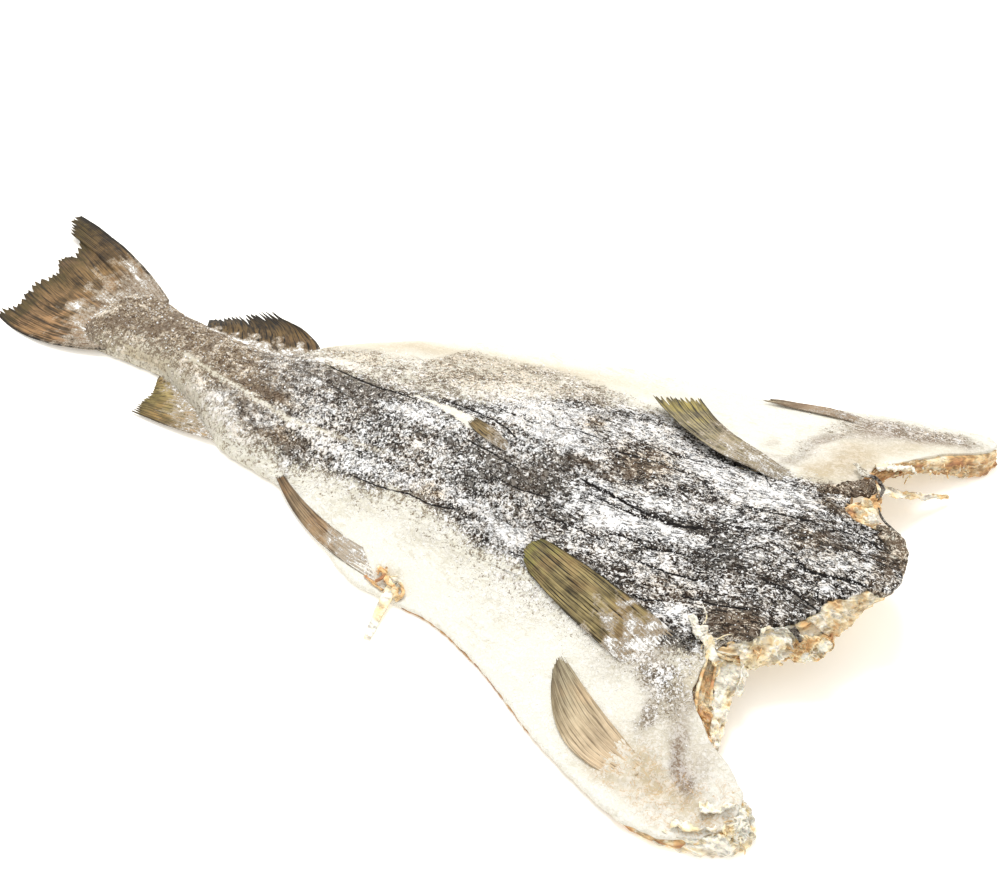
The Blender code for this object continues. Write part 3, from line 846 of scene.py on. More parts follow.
@dataclass(frozen=True)
class SkinFinish:
    """Dark skin and pale belly under a salt crust, from the zones that the mesh holds."""

    black: Colour = (0.012, 0.010, 0.009)
    brown: Colour = (0.072, 0.043, 0.024)
    grey_dust: Colour = (0.39, 0.375, 0.35)
    brown_dust: Colour = (0.35, 0.265, 0.17)
    front_dust: Colour = (0.20, 0.175, 0.15)
    front_brown_dust: Colour = (0.26, 0.205, 0.145)
    thin: Colour = (0.275, 0.222, 0.155)
    film: Colour = (0.190, 0.178, 0.160)
    brown_film: Colour = (0.205, 0.155, 0.110)
    crack: Colour = (0.014, 0.012, 0.011)
    cream: Colour = (0.735, 0.71, 0.615)
    tan: Colour = (0.53, 0.445, 0.305)
    white_fleck: Colour = (0.92, 0.905, 0.86)
    dull: Colour = (0.54, 0.50, 0.38)
    shade: Colour = (0.235, 0.170, 0.120)
    stain: Colour = (0.56, 0.36, 0.17)
    salt: Colour = (0.90, 0.895, 0.89)
    brown_salt: Colour = (0.79, 0.68, 0.53)

    ZONES = ("pigment", "brown", "salt", "streak", "warm", "shade", "crumple", "groove", "crease")

    def material(self) -> Material:
        """Builds the finish."""
        material, graph, shader = new_material("salted_skin")
        point, flow = graph.object_point(), graph.attribute("flow", "Vector")
        zone = {name: graph.attribute(name) for name in self.ZONES}
        skin = SkinReading(graph, point, flow, graph.noise(point, 760, 4, 0.68, 0.5), zone)
        crust = graph.group(Effect.salt_crust(), {
            "Vector": point, "Flow": flow, "Streak": zone["streak"], "Cover": zone["salt"],
        })
        mottle = graph.noise(point, 230, 3, 0.62).remap(0.36, 0.64, -0.22, 0.22)
        browned = graph.math("ADD", zone["brown"], mottle, clamp=True)
        bare = graph.mix(self.dark_share(skin), self.pale(skin), self.dark(skin, browned, crust["Dust"]))
        mask = crust["Mask"] * zone["pigment"].remap(0.1, 0.7, 0.3, 1.0)
        colour = graph.mix(mask, bare, graph.mix(browned * 0.9, self.salt, self.brown_salt))
        lines = self.lines(skin)
        height = graph.blend(0.3, crust["Relief"], skin.spots) - lines
        graph.fill(shader, {
            "Base Color": graph.mix(lines, colour, self.crack),
            "Roughness": graph.blend(mask, 0.6, 0.85),
            "Normal": graph.bump(height * zone["pigment"].remap(0.0, 0.5, 0.35, 1.0), 0.9, 0.0010),
            "Specular IOR Level": 0.10,
        })
        return material

    def dark(self, skin: SkinReading, browned: Signal, veil: Signal) -> Signal:
        """Colour of the dark skin: black to brown under dust, with a thin film where it is bare.

        Args:
            skin: what the finish reads.
            browned: how brown the skin is.
            veil: how much dust lies on it.

        Returns:
            The colour.
        """
        graph, zone = skin.graph, skin.zone
        dark = graph.mix(browned, self.black, self.brown)
        dust = graph.mix(browned, self.grey_dust, self.brown_dust)
        front_dust = graph.mix(zone["brown"], self.front_dust, self.front_brown_dust)
        dust = graph.mix(zone["streak"], dust, front_dust)
        dark = graph.mix(veil * skin.spots.remap(0.36, 0.50, 0.55, 1.0), dark, dust)
        patchy = graph.noise(graph.stretch(skin.flow, 0.7), 430, 2, 0.7, 0.8)
        bare = zone["salt"].remap(0.46, 0.26) * patchy.remap(0.44, 0.57, 0.0, 0.95)
        dark = graph.mix(bare, dark, graph.mix(zone["brown"], self.film, self.brown_film))
        return graph.mix(zone["pigment"].remap(0.35, 0.95, 0.85, 0.0), dark, self.thin)

    def pale(self, skin: SkinReading) -> Signal:
        """Colour of the belly and the collar: cream, tan and grey, the grey partly painted shade in the
        flaps' folds, with stained creases where crumpled.
        """
        graph, zone, spots = skin.graph, skin.zone, skin.spots
        pale = graph.mix(zone["warm"], self.cream, self.tan)
        whiter = spots.remap(0.38, 0.66, 0.0, 0.30) * (1.0 - zone["warm"])
        pale = graph.mix(whiter, pale, self.white_fleck)
        drawn = graph.noise(graph.stretch(skin.flow, 0.45), 300, 4, 0.7, 0.8)
        duller = drawn + graph.noise(skin.point, 40, 3, 0.6).remap(0.35, 0.65, -0.10, 0.08)
        duller = duller + zone["pigment"] * 0.25
        pale = graph.mix(duller.remap(0.50, 0.72, 0.0, 0.55), pale, self.dull)
        # The shade zone's grey-brown: partly painted shade in the flaps' fold valleys, strongest in the low
        # spots of the fine relief.
        shaded = graph.math("MULTIPLY", zone["shade"], spots.remap(0.32, 0.66, 1.25, 0.55), clamp=True)
        pale = graph.mix(shaded, pale, self.shade)
        creased = abs(graph.noise(skin.point, 110, 4, 0.62, 1.4) - 0.5).remap(0.035, 0.0)
        return graph.mix(creased * (zone["crumple"] * 0.7), pale, self.stain)

    @staticmethod
    def dark_share(skin: SkinReading) -> Signal:
        """Where the dark skin shows, breaking up into specks towards the belly."""
        pigment = skin.zone["pigment"]
        broken = skin.graph.blend(0.5, skin.spots, skin.graph.noise(skin.point, 330, 3, 0.6, 0.8))
        specks = broken.remap(0.36, 0.64, -0.6, 0.6, "LINEAR") * pigment.remap(0.0, 0.3, 0.4, 1.0)
        return (pigment + specks).remap(0.42, 0.60)

    @staticmethod
    def lines(skin: SkinReading) -> Signal:
        """Thin broken dark cracks that wander along the fish, and the bottoms of the creases."""
        graph, point, zone = skin.graph, skin.point, skin.zone
        bands = graph.noise(graph.stretch(skin.flow, 0.28), 300, 4, 0.66, 1.2)
        kept = graph.noise(point, 130, 2, 0.5).remap(0.44, 0.50)
        long_cracks = abs(bands - 0.5).remap(0.046, 0.020) * kept
        curls = abs(graph.noise(point, 300, 2, 0.6, 1.4) - 0.46).remap(0.034, 0.014)
        curls = curls * graph.noise(point, 170, 1).remap(0.46, 0.54)
        curls = curls * graph.split(skin.flow)[0].remap(-0.16, -0.04, 0.25, 1.0)
        cracks = graph.blend(zone["streak"], curls, long_cracks) * zone["pigment"].remap(0.45, 0.9)
        wavering = abs(zone["crease"] + skin.spots.remap(0.3, 0.7, -0.45, 0.45))
        grooves = wavering.remap(1.35, 0.85) * zone["groove"].remap(0.25, 0.45)
        return graph.math("MAXIMUM", cracks * 0.88, grooves * zone["pigment"].remap(0.2, 0.6))


class FleshFinish:
    """Dried flesh, from cream to amber by the mesh's warmth, darker where depth says; warmth and depth also
    carry painted shade in the dents and fold valleys of the torn pieces.
    """

    @staticmethod
    def material() -> Material:
        """Builds the finish."""
        material, graph, shader = new_material("salted_flesh")
        warmth, depth = graph.attribute("warmth"), graph.attribute("depth")
        inputs = {"Vector": graph.object_point(), "Warmth": warmth, "Depth": depth}
        fibres = graph.group(Effect.fibres(), inputs)
        graph.fill(shader, {
            "Base Color": fibres["Color"],
            "Normal": graph.bump(fibres["Relief"], 0.8, 0.0007),
            "Roughness": 0.72,
            "Subsurface Weight": 0.12,
            "Subsurface Radius": (0.004, 0.002, 0.001),
            "Subsurface Scale": 1.0,
        })
        return material


@dataclass(frozen=True)
class FinFinish:
    """A leathery fin: streaks along its rays, a darker rim, and salt where the mesh says."""

    name: str
    light: Colour
    dark: Colour
    tip: Colour
    rim: Colour
    tip_start: float = 0.75
    gap: float = 0.85
    root: Colour = (0.30, 0.25, 0.19)
    fade: float = 0.001  # how far along the rays the root's colour reaches
    warm: Colour = (0.42, 0.24, 0.11)
    warm_share: float = 0.5
    hem: Colour = (0.42, 0.24, 0.11)
    outline: float = 1.0  # how dark its two sides are
    hem_share: float = 0.0  # how far the last rays take the hem's colour
    dusk: float = 0.0  # how much darker the first rays are
    dust: Colour = (0.46, 0.385, 0.29)
    salt: Colour = (0.88, 0.865, 0.83)

    def material(self, rays: int) -> Material:
        """Builds the finish for a fin with that many rays."""
        material, graph, shader = new_material(self.name)
        shares, point = graph.add("UVMap", uv_map="rays"), graph.object_point()
        lines = graph.group(Effect.rays(), {"Shares": shares, "Count": float(rays)})
        blade = self.blade(graph, lines, shares, graph.noise(point, 70, 3, 0.6))
        cover = graph.attribute("salt")
        flecks = graph.blend(0.4, graph.noise(point, 620, 4, 0.7, 0.8), lines["Dust"])
        above = flecks - cover.remap(*FLECK_LEVEL)
        veil = cover.remap(0.08, 0.30)
        blade = graph.mix(above.remap(-0.14, 0.0) * (veil * 0.75), blade, self.dust)
        mask = above.remap(-0.01, 0.08) * veil
        graph.fill(shader, {
            "Base Color": graph.mix(mask, blade, self.salt),
            "Roughness": graph.blend(mask, 0.55, 0.85),
            "Normal": graph.bump(lines["Relief"] * 0.6 + mask, 0.7, 0.0006),
            "Specular IOR Level": 0.2,
        })
        return material

    def blade(self, graph: Graph, lines: dict[str, Signal], shares: Signal, blotches: Signal) -> Signal:
        """The fin's own colour.

        Args:
            graph: the material's graph.
            lines: the rays' lines, gaps and dust.
            shares: how far each point lies along and across the rays.
            blotches: broad noise.

        Returns:
            The colour before its salt.
        """
        along, across = graph.split(shares)
        tone = graph.blend(0.4, lines["Lines"], blotches.remap(0.36, 0.64))
        blade = graph.mix(tone, self.dark, self.light)
        warm = graph.noise(graph.object_point(), 38, 2, 0.5).remap(0.52, 0.66, 0.0, self.warm_share)
        blade = graph.mix(warm, blade, self.warm)
        uneven = across + blotches.remap(0.3, 0.7, -0.15, 0.15)
        hem = graph.mix(tone.remap(0.2, 0.9), self.dark, self.hem)
        blade = graph.mix(uneven.remap(0.55, 0.85, 0.0, self.hem_share), blade, hem)
        dusk = uneven.remap(0.5, 0.0, 0.0, self.dusk) * along.remap(0.35, 0.85, 0.25, 1.0)
        blade = graph.mix(dusk, blade, self.rim)
        tip_share = (along + blotches.remap(0.3, 0.7, -0.12, 0.12)).remap(self.tip_start, 1.02)
        blade = graph.mix(tip_share, blade, graph.mix(tone, self.rim, self.tip))
        fading = along + lines["Dust"].remap(0.3, 0.7, 0.10, -0.10)
        foot = graph.mix(tone, graph.mix(0.45, self.root, self.rim), self.root)
        blade = graph.mix(fading.remap(self.fade, self.fade * 0.2), blade, foot)
        blade = graph.mix(lines["Gaps"] * self.gap, blade, self.rim)
        return graph.mix(graph.attribute("edge") * self.outline, blade, self.rim)


class SaltFinish:
    """Loose salt crystals."""

    @staticmethod
    def material() -> Material:
        """Builds the finish."""
        material, graph, shader = new_material("salt_grains")
        tone = graph.noise(graph.object_point(), 300, 1).remap(0.3, 0.7)
        colour = graph.mix(tone, (0.80, 0.79, 0.77), (0.94, 0.94, 0.93))
        graph.fill(shader, {"Base Color": colour, "Roughness": 0.45})
        return material


class FloorFinish:
    """A plain pale floor."""

    @staticmethod
    def material() -> Material:
        """Builds the finish."""
        material, graph, shader = new_material("pale_floor")
        graph.fill(shader, {
            "Base Color": (0.95, 0.925, 0.87),
            "Roughness": 0.9,
            "Emission Color": (1.0, 0.95, 0.86),
            "Emission Strength": 0.26,
        })
        return material


# ---- Mesh tools ----


def keep_numbers(data: Mesh, numbers: dict[str, Array]) -> None:
    """Stores one number for each vertex under each name, or a vector where the array has three columns."""
    for name, values in numbers.items():
        kind, key = ("FLOAT_VECTOR", "vector") if np.ndim(values) == 2 else ("FLOAT", "value")
        store = data.attributes.new(name, kind, "POINT")
        store.data.foreach_set(key, np.asarray(values, np.float32).ravel())


def read(
    items: bpy_prop_collection, key: str, shape: int | tuple[int, int] = -1, kind: type = float
) -> Array:
    """One property of every item of a mesh, as an array of that shape and kind."""
    width = 1 if shape == -1 else shape[-1]
    values = np.empty(len(items) * width, kind)
    items.foreach_get(key, values)
    return values.reshape(shape)


def keep_shares(data: Mesh, u: Array, v: Array) -> None:
    """Stores u and v as the mesh's UV map."""
    corners = read(data.loops, "vertex_index", kind=np.int32)
    layer = data.uv_layers.new(name="rays")
    layer.data.foreach_set("uv", np.stack([u[corners], v[corners]], 1).astype(np.float32).ravel())


def finish_piece(name: str, data: Mesh, material: Material) -> Object:
    """Makes a mesh a piece of the fish.

    Args:
        name: the piece's name.
        data: its mesh, in the frame's metres.
        material: its finish.

    Returns:
        The object, which rides on the fish.
    """
    data.materials.append(material)
    data.shade_smooth()
    piece = bpy.data.objects.new(name, data)
    bpy.context.scene.collection.objects.link(piece)
    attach(piece, BODY)
    LOG.info("%s: %d faces", name, len(data.polygons))
    return piece


def places(work: BMesh) -> Array:
    """Where a bmesh's vertices are."""
    return np.array([vert.co for vert in work.verts])


def write_mesh(name: str, work: BMesh, points: Array) -> Mesh:
    """Moves a bmesh's vertices to points in millimetres and turns it into a mesh in metres."""
    for vert, place in zip(work.verts, Place.metres(points)):
        vert.co = place
    bmesh.ops.recalc_face_normals(work, faces=work.faces)
    data = bpy.data.meshes.new(name)
    work.to_mesh(data)
    work.free()
    return data


def sheet_shares(work: BMesh) -> Array:
    """Each vertex's u, v and w on a sheet drawn flat: w is 0 on its upper face and 1 on its lower one."""
    return places(work) * (1, 1, -1) + (0.5, 0.5, 0)


@dataclass(frozen=True)
class Shell:
    """A closed skin over a unit square: a fine face, rows round its rim, and a coarse hidden face."""

    fine: tuple[int, int]
    coarse: tuple[int, int]
    rim_rows: int = 0

    def start(self) -> tuple[BMesh, Array]:
        """Draws it flat, and gives the bmesh and its vertices' u, v and w."""
        work = bmesh.new()
        bmesh.ops.create_grid(work, x_segments=self.fine[0], y_segments=self.fine[1], size=0.5)
        rim = [edge for edge in work.edges if edge.is_boundary]
        for _ in range(self.rim_rows):
            made = bmesh.ops.extrude_edge_only(work, edges=rim)["geom"]
            verts = [item for item in made if isinstance(item, BMVert)]
            rim = [item for item in made if isinstance(item, BMEdge) and item.is_boundary]
            bmesh.ops.translate(work, verts=verts, vec=(0, 0, -1 / (self.rim_rows + 1)))
        cells = {"x_segments": self.coarse[0], "y_segments": self.coarse[1]}
        inner = bmesh.ops.create_grid(work, size=0.5, **cells)["verts"]
        bmesh.ops.translate(work, verts=inner, vec=(0, 0, -1))
        inner_rim = [edge for edge in work.edges if edge.is_boundary and edge.verts[0].co.z < -0.99]
        bmesh.ops.bridge_loops(work, edges=rim + inner_rim)
        return work, sheet_shares(work)


def closed_sheet(cells_u: int, cells_v: int) -> tuple[BMesh, Array]:
    """A thin closed sheet over a unit square.

    Args:
        cells_u: cells along u.
        cells_v: cells along v.

    Returns:
        The bmesh and its vertices' u, v and w.
    """
    work = bmesh.new()
    bmesh.ops.create_grid(work, x_segments=cells_u, y_segments=cells_v, size=0.5)
    copies = bmesh.ops.extrude_face_region(work, geom=work.faces[:], use_keep_orig=True)["geom"]
    below = [item for item in copies if isinstance(item, BMVert)]
    bmesh.ops.translate(work, verts=below, vec=(0, 0, -1))
    return work, sheet_shares(work)


def path_length(points: Sequence[Point]) -> float:
    """Length of the straight runs between points."""
    return np.linalg.norm(np.diff(np.array(points, float), axis=0), axis=1).sum()


def unit_rows(rows: Array) -> Array:
    """Vectors, one to a row, brought to a length of 1."""
    return rows / np.maximum(np.linalg.norm(rows, axis=1, keepdims=True), 1e-6)


def spline(points: Sequence[Point], shares: Array) -> Array:
    """Points on a smooth line through the given points, at shares of 0 to 1 of its length."""
    knots = np.array(points, float)
    padded = np.vstack([2 * knots[0] - knots[1], knots, 2 * knots[-1] - knots[-2]])
    steps = np.linalg.norm(np.diff(knots, axis=0), axis=1)
    marks = np.concatenate([[0], np.cumsum(steps)]) / steps.sum()
    leg = np.clip(np.searchsorted(marks, shares, side="right") - 1, 0, len(knots) - 2)
    t = ((shares - marks[leg]) / (marks[leg + 1] - marks[leg]))[:, None]
    a, b, c, d = (padded[leg + number] for number in range(4))
    return 0.5 * (2 * b + (c - a) * t + (2 * a - 5 * b + 4 * c - d) * t**2 + (3 * b - a - 3 * c + d) * t**3)


def direction(points: Sequence[Point], shares: Array, cells: int) -> Array:
    """Which way the smooth line runs at shares of its length, for a line cut into that many cells."""
    step = 0.5 / cells
    return spline(points, np.clip(shares + step, 0, 1)) - spline(points, np.clip(shares - step, 0, 1))


# ---- The body ----


def skin_wrap(x: Array, side: Array) -> Array:
    """1 where the skin's edge reaches down to the table, 0 where the cut flesh shows under it."""
    return np.where(side < 0, smooth_step(-274, -246, -x), smooth_step(-300, -262, -x))


@dataclass
class SkinSide:
    """The whole skin side, in one piece, with its colours held on its vertices."""

    cells: tuple[int, int] = (400, 208)
    inner_cells: tuple[int, int] = (100, 52)
    rim_rows: int = 4
    thick: float = 2.4

    def build(self) -> Object:
        """Makes the skin."""
        work, shares = Shell(self.cells, self.inner_cells, self.rim_rows).start()
        u, v, w = shares.T
        side = 2 * v - 1
        side = np.sign(side) * np.abs(side) ** 0.94
        hidden = w > 0.99
        x, y = Board.plan(u, side * np.where(hidden, 0.985, 1.0), True)
        rim = np.abs(side) > 0.999
        down = np.clip(w * (self.rim_rows + 1) / self.rim_rows, 0, 1)
        bulge = 1.0 * np.sin(np.pi * np.clip(down, 0, 1)) + 0.6 * EDGE(x, side * 30, 8, 3)
        y = y + np.where(rim & ~hidden, np.sign(side) * bulge, 0)
        top = Skin.height(x, y)
        wrap = skin_wrap(x, side) * rim
        drop = wrap * (top - 0.4) + (1 - wrap) * self.thick
        z = np.where(hidden, Skin.form(x, y) - self.thick, top - drop * down)
        data = write_mesh("skin_side", work, np.stack([x, y, np.maximum(z, 0.3)], 1))
        zones = Skin.zones(x, y)
        zones["salt"] = np.clip(zones["salt"] + 0.10 * (Skin.crust(x, y, zones["salt"]) - 0.5), 0, 1)
        # Tan band on the lowest part of the near belly's rim wall, darkened with painted shade where the wall
        # meets the table.
        tan_and_shaded_low_rim = rim * smooth_step(0.45, 0.8, down) * (side < 0) * smooth_step(90, 150, x)
        zones["warm"] = np.maximum(zones["warm"] * (1 - 0.6 * rim), tan_and_shaded_low_rim)
        zones["shade"] = np.maximum(zones["shade"] * (1 - 0.6 * rim), 0.22 * tan_and_shaded_low_rim)
        keep_numbers(data, zones)
        keep_numbers(data, {"flow": np.stack([x, y - Board.back_line(x), 0 * x], 1) * Place.unit})
        piece = finish_piece("skin_side", data, SkinFinish().material())
        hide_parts(CAD_NODE)
        return piece


@dataclass
class FleshSide:
    """The split flesh under the skin: cut rim, flaky underside and the stub of the backbone."""

    cells: tuple[int, int] = (300, 150)
    inner_cells: tuple[int, int] = (75, 38)
    rim_rows: int = 7
    under_skin: float = 1.8
    bulge: float = 1.1

    def build(self) -> Object:
        """Makes the flesh."""
        work, shares = Shell(self.cells, self.inner_cells, self.rim_rows).start()
        u, v, w = shares.T
        side = 2 * v - 1
        wrap = skin_wrap(Board.plan(u, side, False)[0], side)
        belly = 4 * w * (1 - w) * self.bulge
        x, y = Board.plan(u, side * np.where(w > 0.99, 0.985, 1.0), False)
        proud = (belly + 0.5 + 0.8 * EDGE(x, w * 9, 6, 3)) * (1 - wrap) - 1.5 * wrap
        out_y = np.sign(side) * (np.abs(side) > 0.999) * proud
        out_x = (u > 0.999) * (belly + 1.2 * EDGE(y, w * 9, 5, 3))
        x, y = x + out_x, y + out_y
        top = Skin.form(x, y) - self.under_skin
        low = Board.under(x, y)
        flakes = self.flakes(x, y)
        z = np.where(w > 0.99, top, low + (top - low) * w + np.where(w < 0.01, flakes, 0))
        z = np.maximum(z, 0.0)
        data = write_mesh("flesh_side", work, np.stack([x, y, z], 1))
        rim = (np.abs(side) > 0.999) | (u > 0.999)
        seam = rim * np.exp(-(((w - 0.62) / 0.14) ** 2)) * smooth_step(40, 90, x)
        warmth = 0.16 + 0.12 * BROAD(x, y, 30, 3) + 0.30 * rim * (u > 0.9) + 0.22 * seam
        keep_numbers(data, {"warmth": np.clip(warmth, 0, 1), "depth": np.clip(0.55 * seam, 0, 1)})
        piece = finish_piece("flesh_side", data, FleshFinish.material())
        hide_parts(CAD_NODE)
        return piece

    @staticmethod
    def flakes(x: Array, y: Array) -> Array:
        """Relief of the underside: W-shaped muscle flakes and the groove along the backbone."""
        from_back = y - Board.back_line(x)
        bend = x + 0.55 * np.abs(np.abs(from_back) - 34) + 4 * WARP(x, y, 30, 2)
        flake = np.abs((bend / 11.0) % 1.0 - 0.5) * 2
        flesh = 0.9 * flake * smooth_step(-150, -60, x) + 0.5 * BROAD(x, y, 9, 3)
        spine = np.exp(-((from_back / 5.0) ** 2)) * smooth_step(-40, 10, x)
        return np.clip(flesh, 0, 2) + 3.0 * spine * smooth_step(0, 60, x)


# ---- Fins ----


@dataclass
class Fin:
    """A fin as a fan of rays from its root line to its tip line.

    first_bow and last_bow bend the first and the last ray sideways at mid length. A fin that rides the
    skin lies lift above it at the root and tip_lift above it at the tip. Otherwise it runs from
    root_height to tip_height above the table.
    """

    name: str
    finish: FinFinish
    root: tuple[tuple[float, float], ...]
    tip: tuple[tuple[float, float], ...]
    first_bow: tuple[float, float] = (0.0, 0.0)
    last_bow: tuple[float, float] = (0.0, 0.0)
    rides_skin: bool = False
    lift: float = 1.2
    tip_lift: float = 3.0
    droop: float = 0.0  # fall beyond the near edge of the body
    root_height: float = 10.0
    tip_height: float = 3.0
    bank: float = 0.0  # how much higher the first ray lies than the last
    thick: float = 1.5
    tip_thick: float = 0.6
    rays: int = 24
    ridge: float = 0.45
    ragged: float = 0.04
    notches: float = 0.03
    cells: tuple[int, int] = (60, 90)
    curl: float = 0.0
    wave: float = 0.8
    salt_root: float = 0.5
    salt_reach: float = 0.35
    salt_patches: tuple[Patch, ...] = ()
    seed: int = 1

    def build(self) -> Object:
        """Makes the fin."""
        work, shares = closed_sheet(*self.cells)
        u, v, w = shares.T
        x, y, z = self.surface(u, v)
        thick = self.thick + (self.tip_thick - self.thick) * u
        thick = thick * (0.35 + 0.65 * np.clip(12 * v * (1 - v), 0, 1) ** 0.5)
        z = z - w * thick
        data = write_mesh(self.name, work, np.stack([x, y, np.maximum(z, 0.15 * (1 - w))], 1))
        keep_shares(data, u, v)
        salt = self.salt_root * smooth_step(self.salt_reach, 0.0, u + 0.25 * WARP(x, y, 9, 3))
        salt = salt + total_weight(self.salt_patches, x, y) if self.salt_patches else salt
        outline = smooth_step(0.94, 0.995, np.abs(2 * v - 1))
        keep_numbers(data, {"salt": np.clip(salt, 0, 1), "edge": outline})
        return finish_piece(self.name, data, self.finish.material(self.rays))

    @staticmethod
    def edge(line: tuple[tuple[float, float], ...], v: Array) -> tuple[Array, Array]:
        """x and y on a line of evenly shared points, at shares v of the way along it."""
        stations = np.linspace(0.0, 1.0, len(line))
        x, y = (np.interp(v, stations, side) for side in np.array(line, float).T)
        return x, y

    def surface(self, u: Array, v: Array) -> tuple[Array, Array, Array]:
        """Upper face of the fin.

        Args:
            u: share of the way along the rays.
            v: share of the way across them.

        Returns:
            x, y and z, in millimetres.
        """
        generator = Grain(self.seed)
        teeth = np.abs((v * self.rays + 0.3 * generator(v * 100, 0 * v + 20, 4)) % 1.0 - 0.5) * 2
        torn = np.clip(generator(v * 100, 0 * v, 9, 2) * 1.2, 0, 1)
        inner = np.clip(16 * np.minimum(v, 1 - v), 0, 1)
        short = self.ragged * teeth * (0.9 + 0.9 * generator(v * 100, 0 * v + 50, 3)) + self.notches * torn
        u = u * (1 - np.clip(short * inner, 0, 0.5))
        (root_x, root_y), (tip_x, tip_y) = self.edge(self.root, v), self.edge(self.tip, v)
        bend = 4 * u * (1 - u)
        x = root_x + (tip_x - root_x) * u + bend * ((1 - v) * self.first_bow[0] + v * self.last_bow[0])
        y = root_y + (tip_y - root_y) * u + bend * ((1 - v) * self.first_bow[1] + v * self.last_bow[1])
        if self.rides_skin:
            rise = 0.65 * smooth_step(0.0, 0.3, u) + 0.35 * u
            beyond = np.clip(Board.near_edge(x) - y, 0, 9)
            base = Board.top(x, y) + self.lift + (self.tip_lift - self.lift) * rise - self.droop * beyond
        else:
            base = self.root_height + (self.tip_height - self.root_height) * u + self.bank * (0.5 - v)
        split = smooth_step(0.35, 0.7, u)
        fold = np.cos(2 * np.pi * self.rays * v)
        finer = np.cos(4 * np.pi * self.rays * v)
        ridge = self.ridge * (fold * (1 - 0.7 * split) + finer * 0.5 * split) * (1 - 0.35 * u)
        ridge = ridge * (0.75 + 0.5 * generator(u * 20, v * self.rays, 1.0))
        wave = self.wave * BROAD(x, y + 200, 26, 2) * (0.3 + 0.7 * u)
        curl = self.curl * np.abs(2 * v - 1) ** 3 * (0.2 + 0.8 * u)
        return x, y, base + ridge + wave + curl


TAIL_FINISH = FinFinish(
    "tail_fin_skin", light=(0.30, 0.182, 0.074), dark=(0.046, 0.029, 0.013), tip=(0.10, 0.070, 0.024),
    rim=(0.012, 0.009, 0.006), tip_start=0.70, gap=0.6, warm=(0.32, 0.185, 0.085), warm_share=0.5,
    root=(0.225, 0.160, 0.110), fade=0.55, hem=(0.36, 0.205, 0.095), hem_share=0.8, dusk=0.9,
)
BACK_FINISH = FinFinish(
    "back_fin_skin", light=(0.155, 0.096, 0.036), dark=(0.009, 0.006, 0.004), tip=(0.026, 0.018, 0.010),
    rim=(0.007, 0.006, 0.004), tip_start=0.6, gap=1.0, warm_share=0.12, root=(0.10, 0.075, 0.05), fade=0.25,
)
BELLY_FINISH = FinFinish(
    "belly_fin_skin", light=(0.41, 0.315, 0.130), dark=(0.13, 0.097, 0.042), tip=(0.24, 0.19, 0.065),
    rim=(0.040, 0.027, 0.014), tip_start=0.62, gap=0.85, warm_share=0.2, hem=(0.46, 0.26, 0.10),
    hem_share=0.85,
)
FRONT_BELLY_FINISH = FinFinish(
    "front_belly_fin_skin", light=(0.42, 0.30, 0.175), dark=(0.10, 0.068, 0.038), tip=(0.44, 0.26, 0.125),
    rim=(0.018, 0.013, 0.010), tip_start=0.8, gap=0.7, warm_share=0.3, root=(0.66, 0.57, 0.45), fade=0.5,
)
PECTORAL_FINISH = FinFinish(
    "pectoral_fin_skin", light=(0.41, 0.32, 0.140), dark=(0.040, 0.030, 0.013), tip=(0.34, 0.30, 0.085),
    rim=(0.008, 0.007, 0.004), tip_start=0.84, gap=1.0, warm=(0.30, 0.18, 0.075), warm_share=0.4,
    root=(0.29, 0.19, 0.095), fade=0.45,
)
FOLDED_FINISH = FinFinish(
    "folded_fin_skin", light=(0.30, 0.215, 0.095), dark=(0.055, 0.038, 0.020), tip=(0.26, 0.18, 0.08),
    rim=(0.010, 0.008, 0.006), tip_start=0.9, gap=0.95, warm_share=0.1,
)
FAR_PECTORAL_FINISH = FinFinish(
    "far_pectoral_fin_skin", light=(0.40, 0.34, 0.20), dark=(0.085, 0.068, 0.036), tip=(0.40, 0.32, 0.10),
    rim=(0.014, 0.012, 0.008), tip_start=0.66, gap=0.95, warm_share=0.1,
)
PELVIC_FINISH = FinFinish(
    "pelvic_fin_skin", light=(0.64, 0.53, 0.35), dark=(0.34, 0.265, 0.155), tip=(0.42, 0.36, 0.235),
    rim=(0.075, 0.050, 0.027), tip_start=0.45, gap=0.6, warm=(0.70, 0.51, 0.30), warm_share=0.6,
    root=(0.72, 0.56, 0.37), fade=0.8, outline=0.25,
)
FAR_PELVIC_FINISH = FinFinish(
    "far_pelvic_fin_skin", light=(0.44, 0.31, 0.20), dark=(0.18, 0.12, 0.078), tip=(0.62, 0.52, 0.36),
    rim=(0.10, 0.065, 0.045), tip_start=0.7, gap=0.7,
)

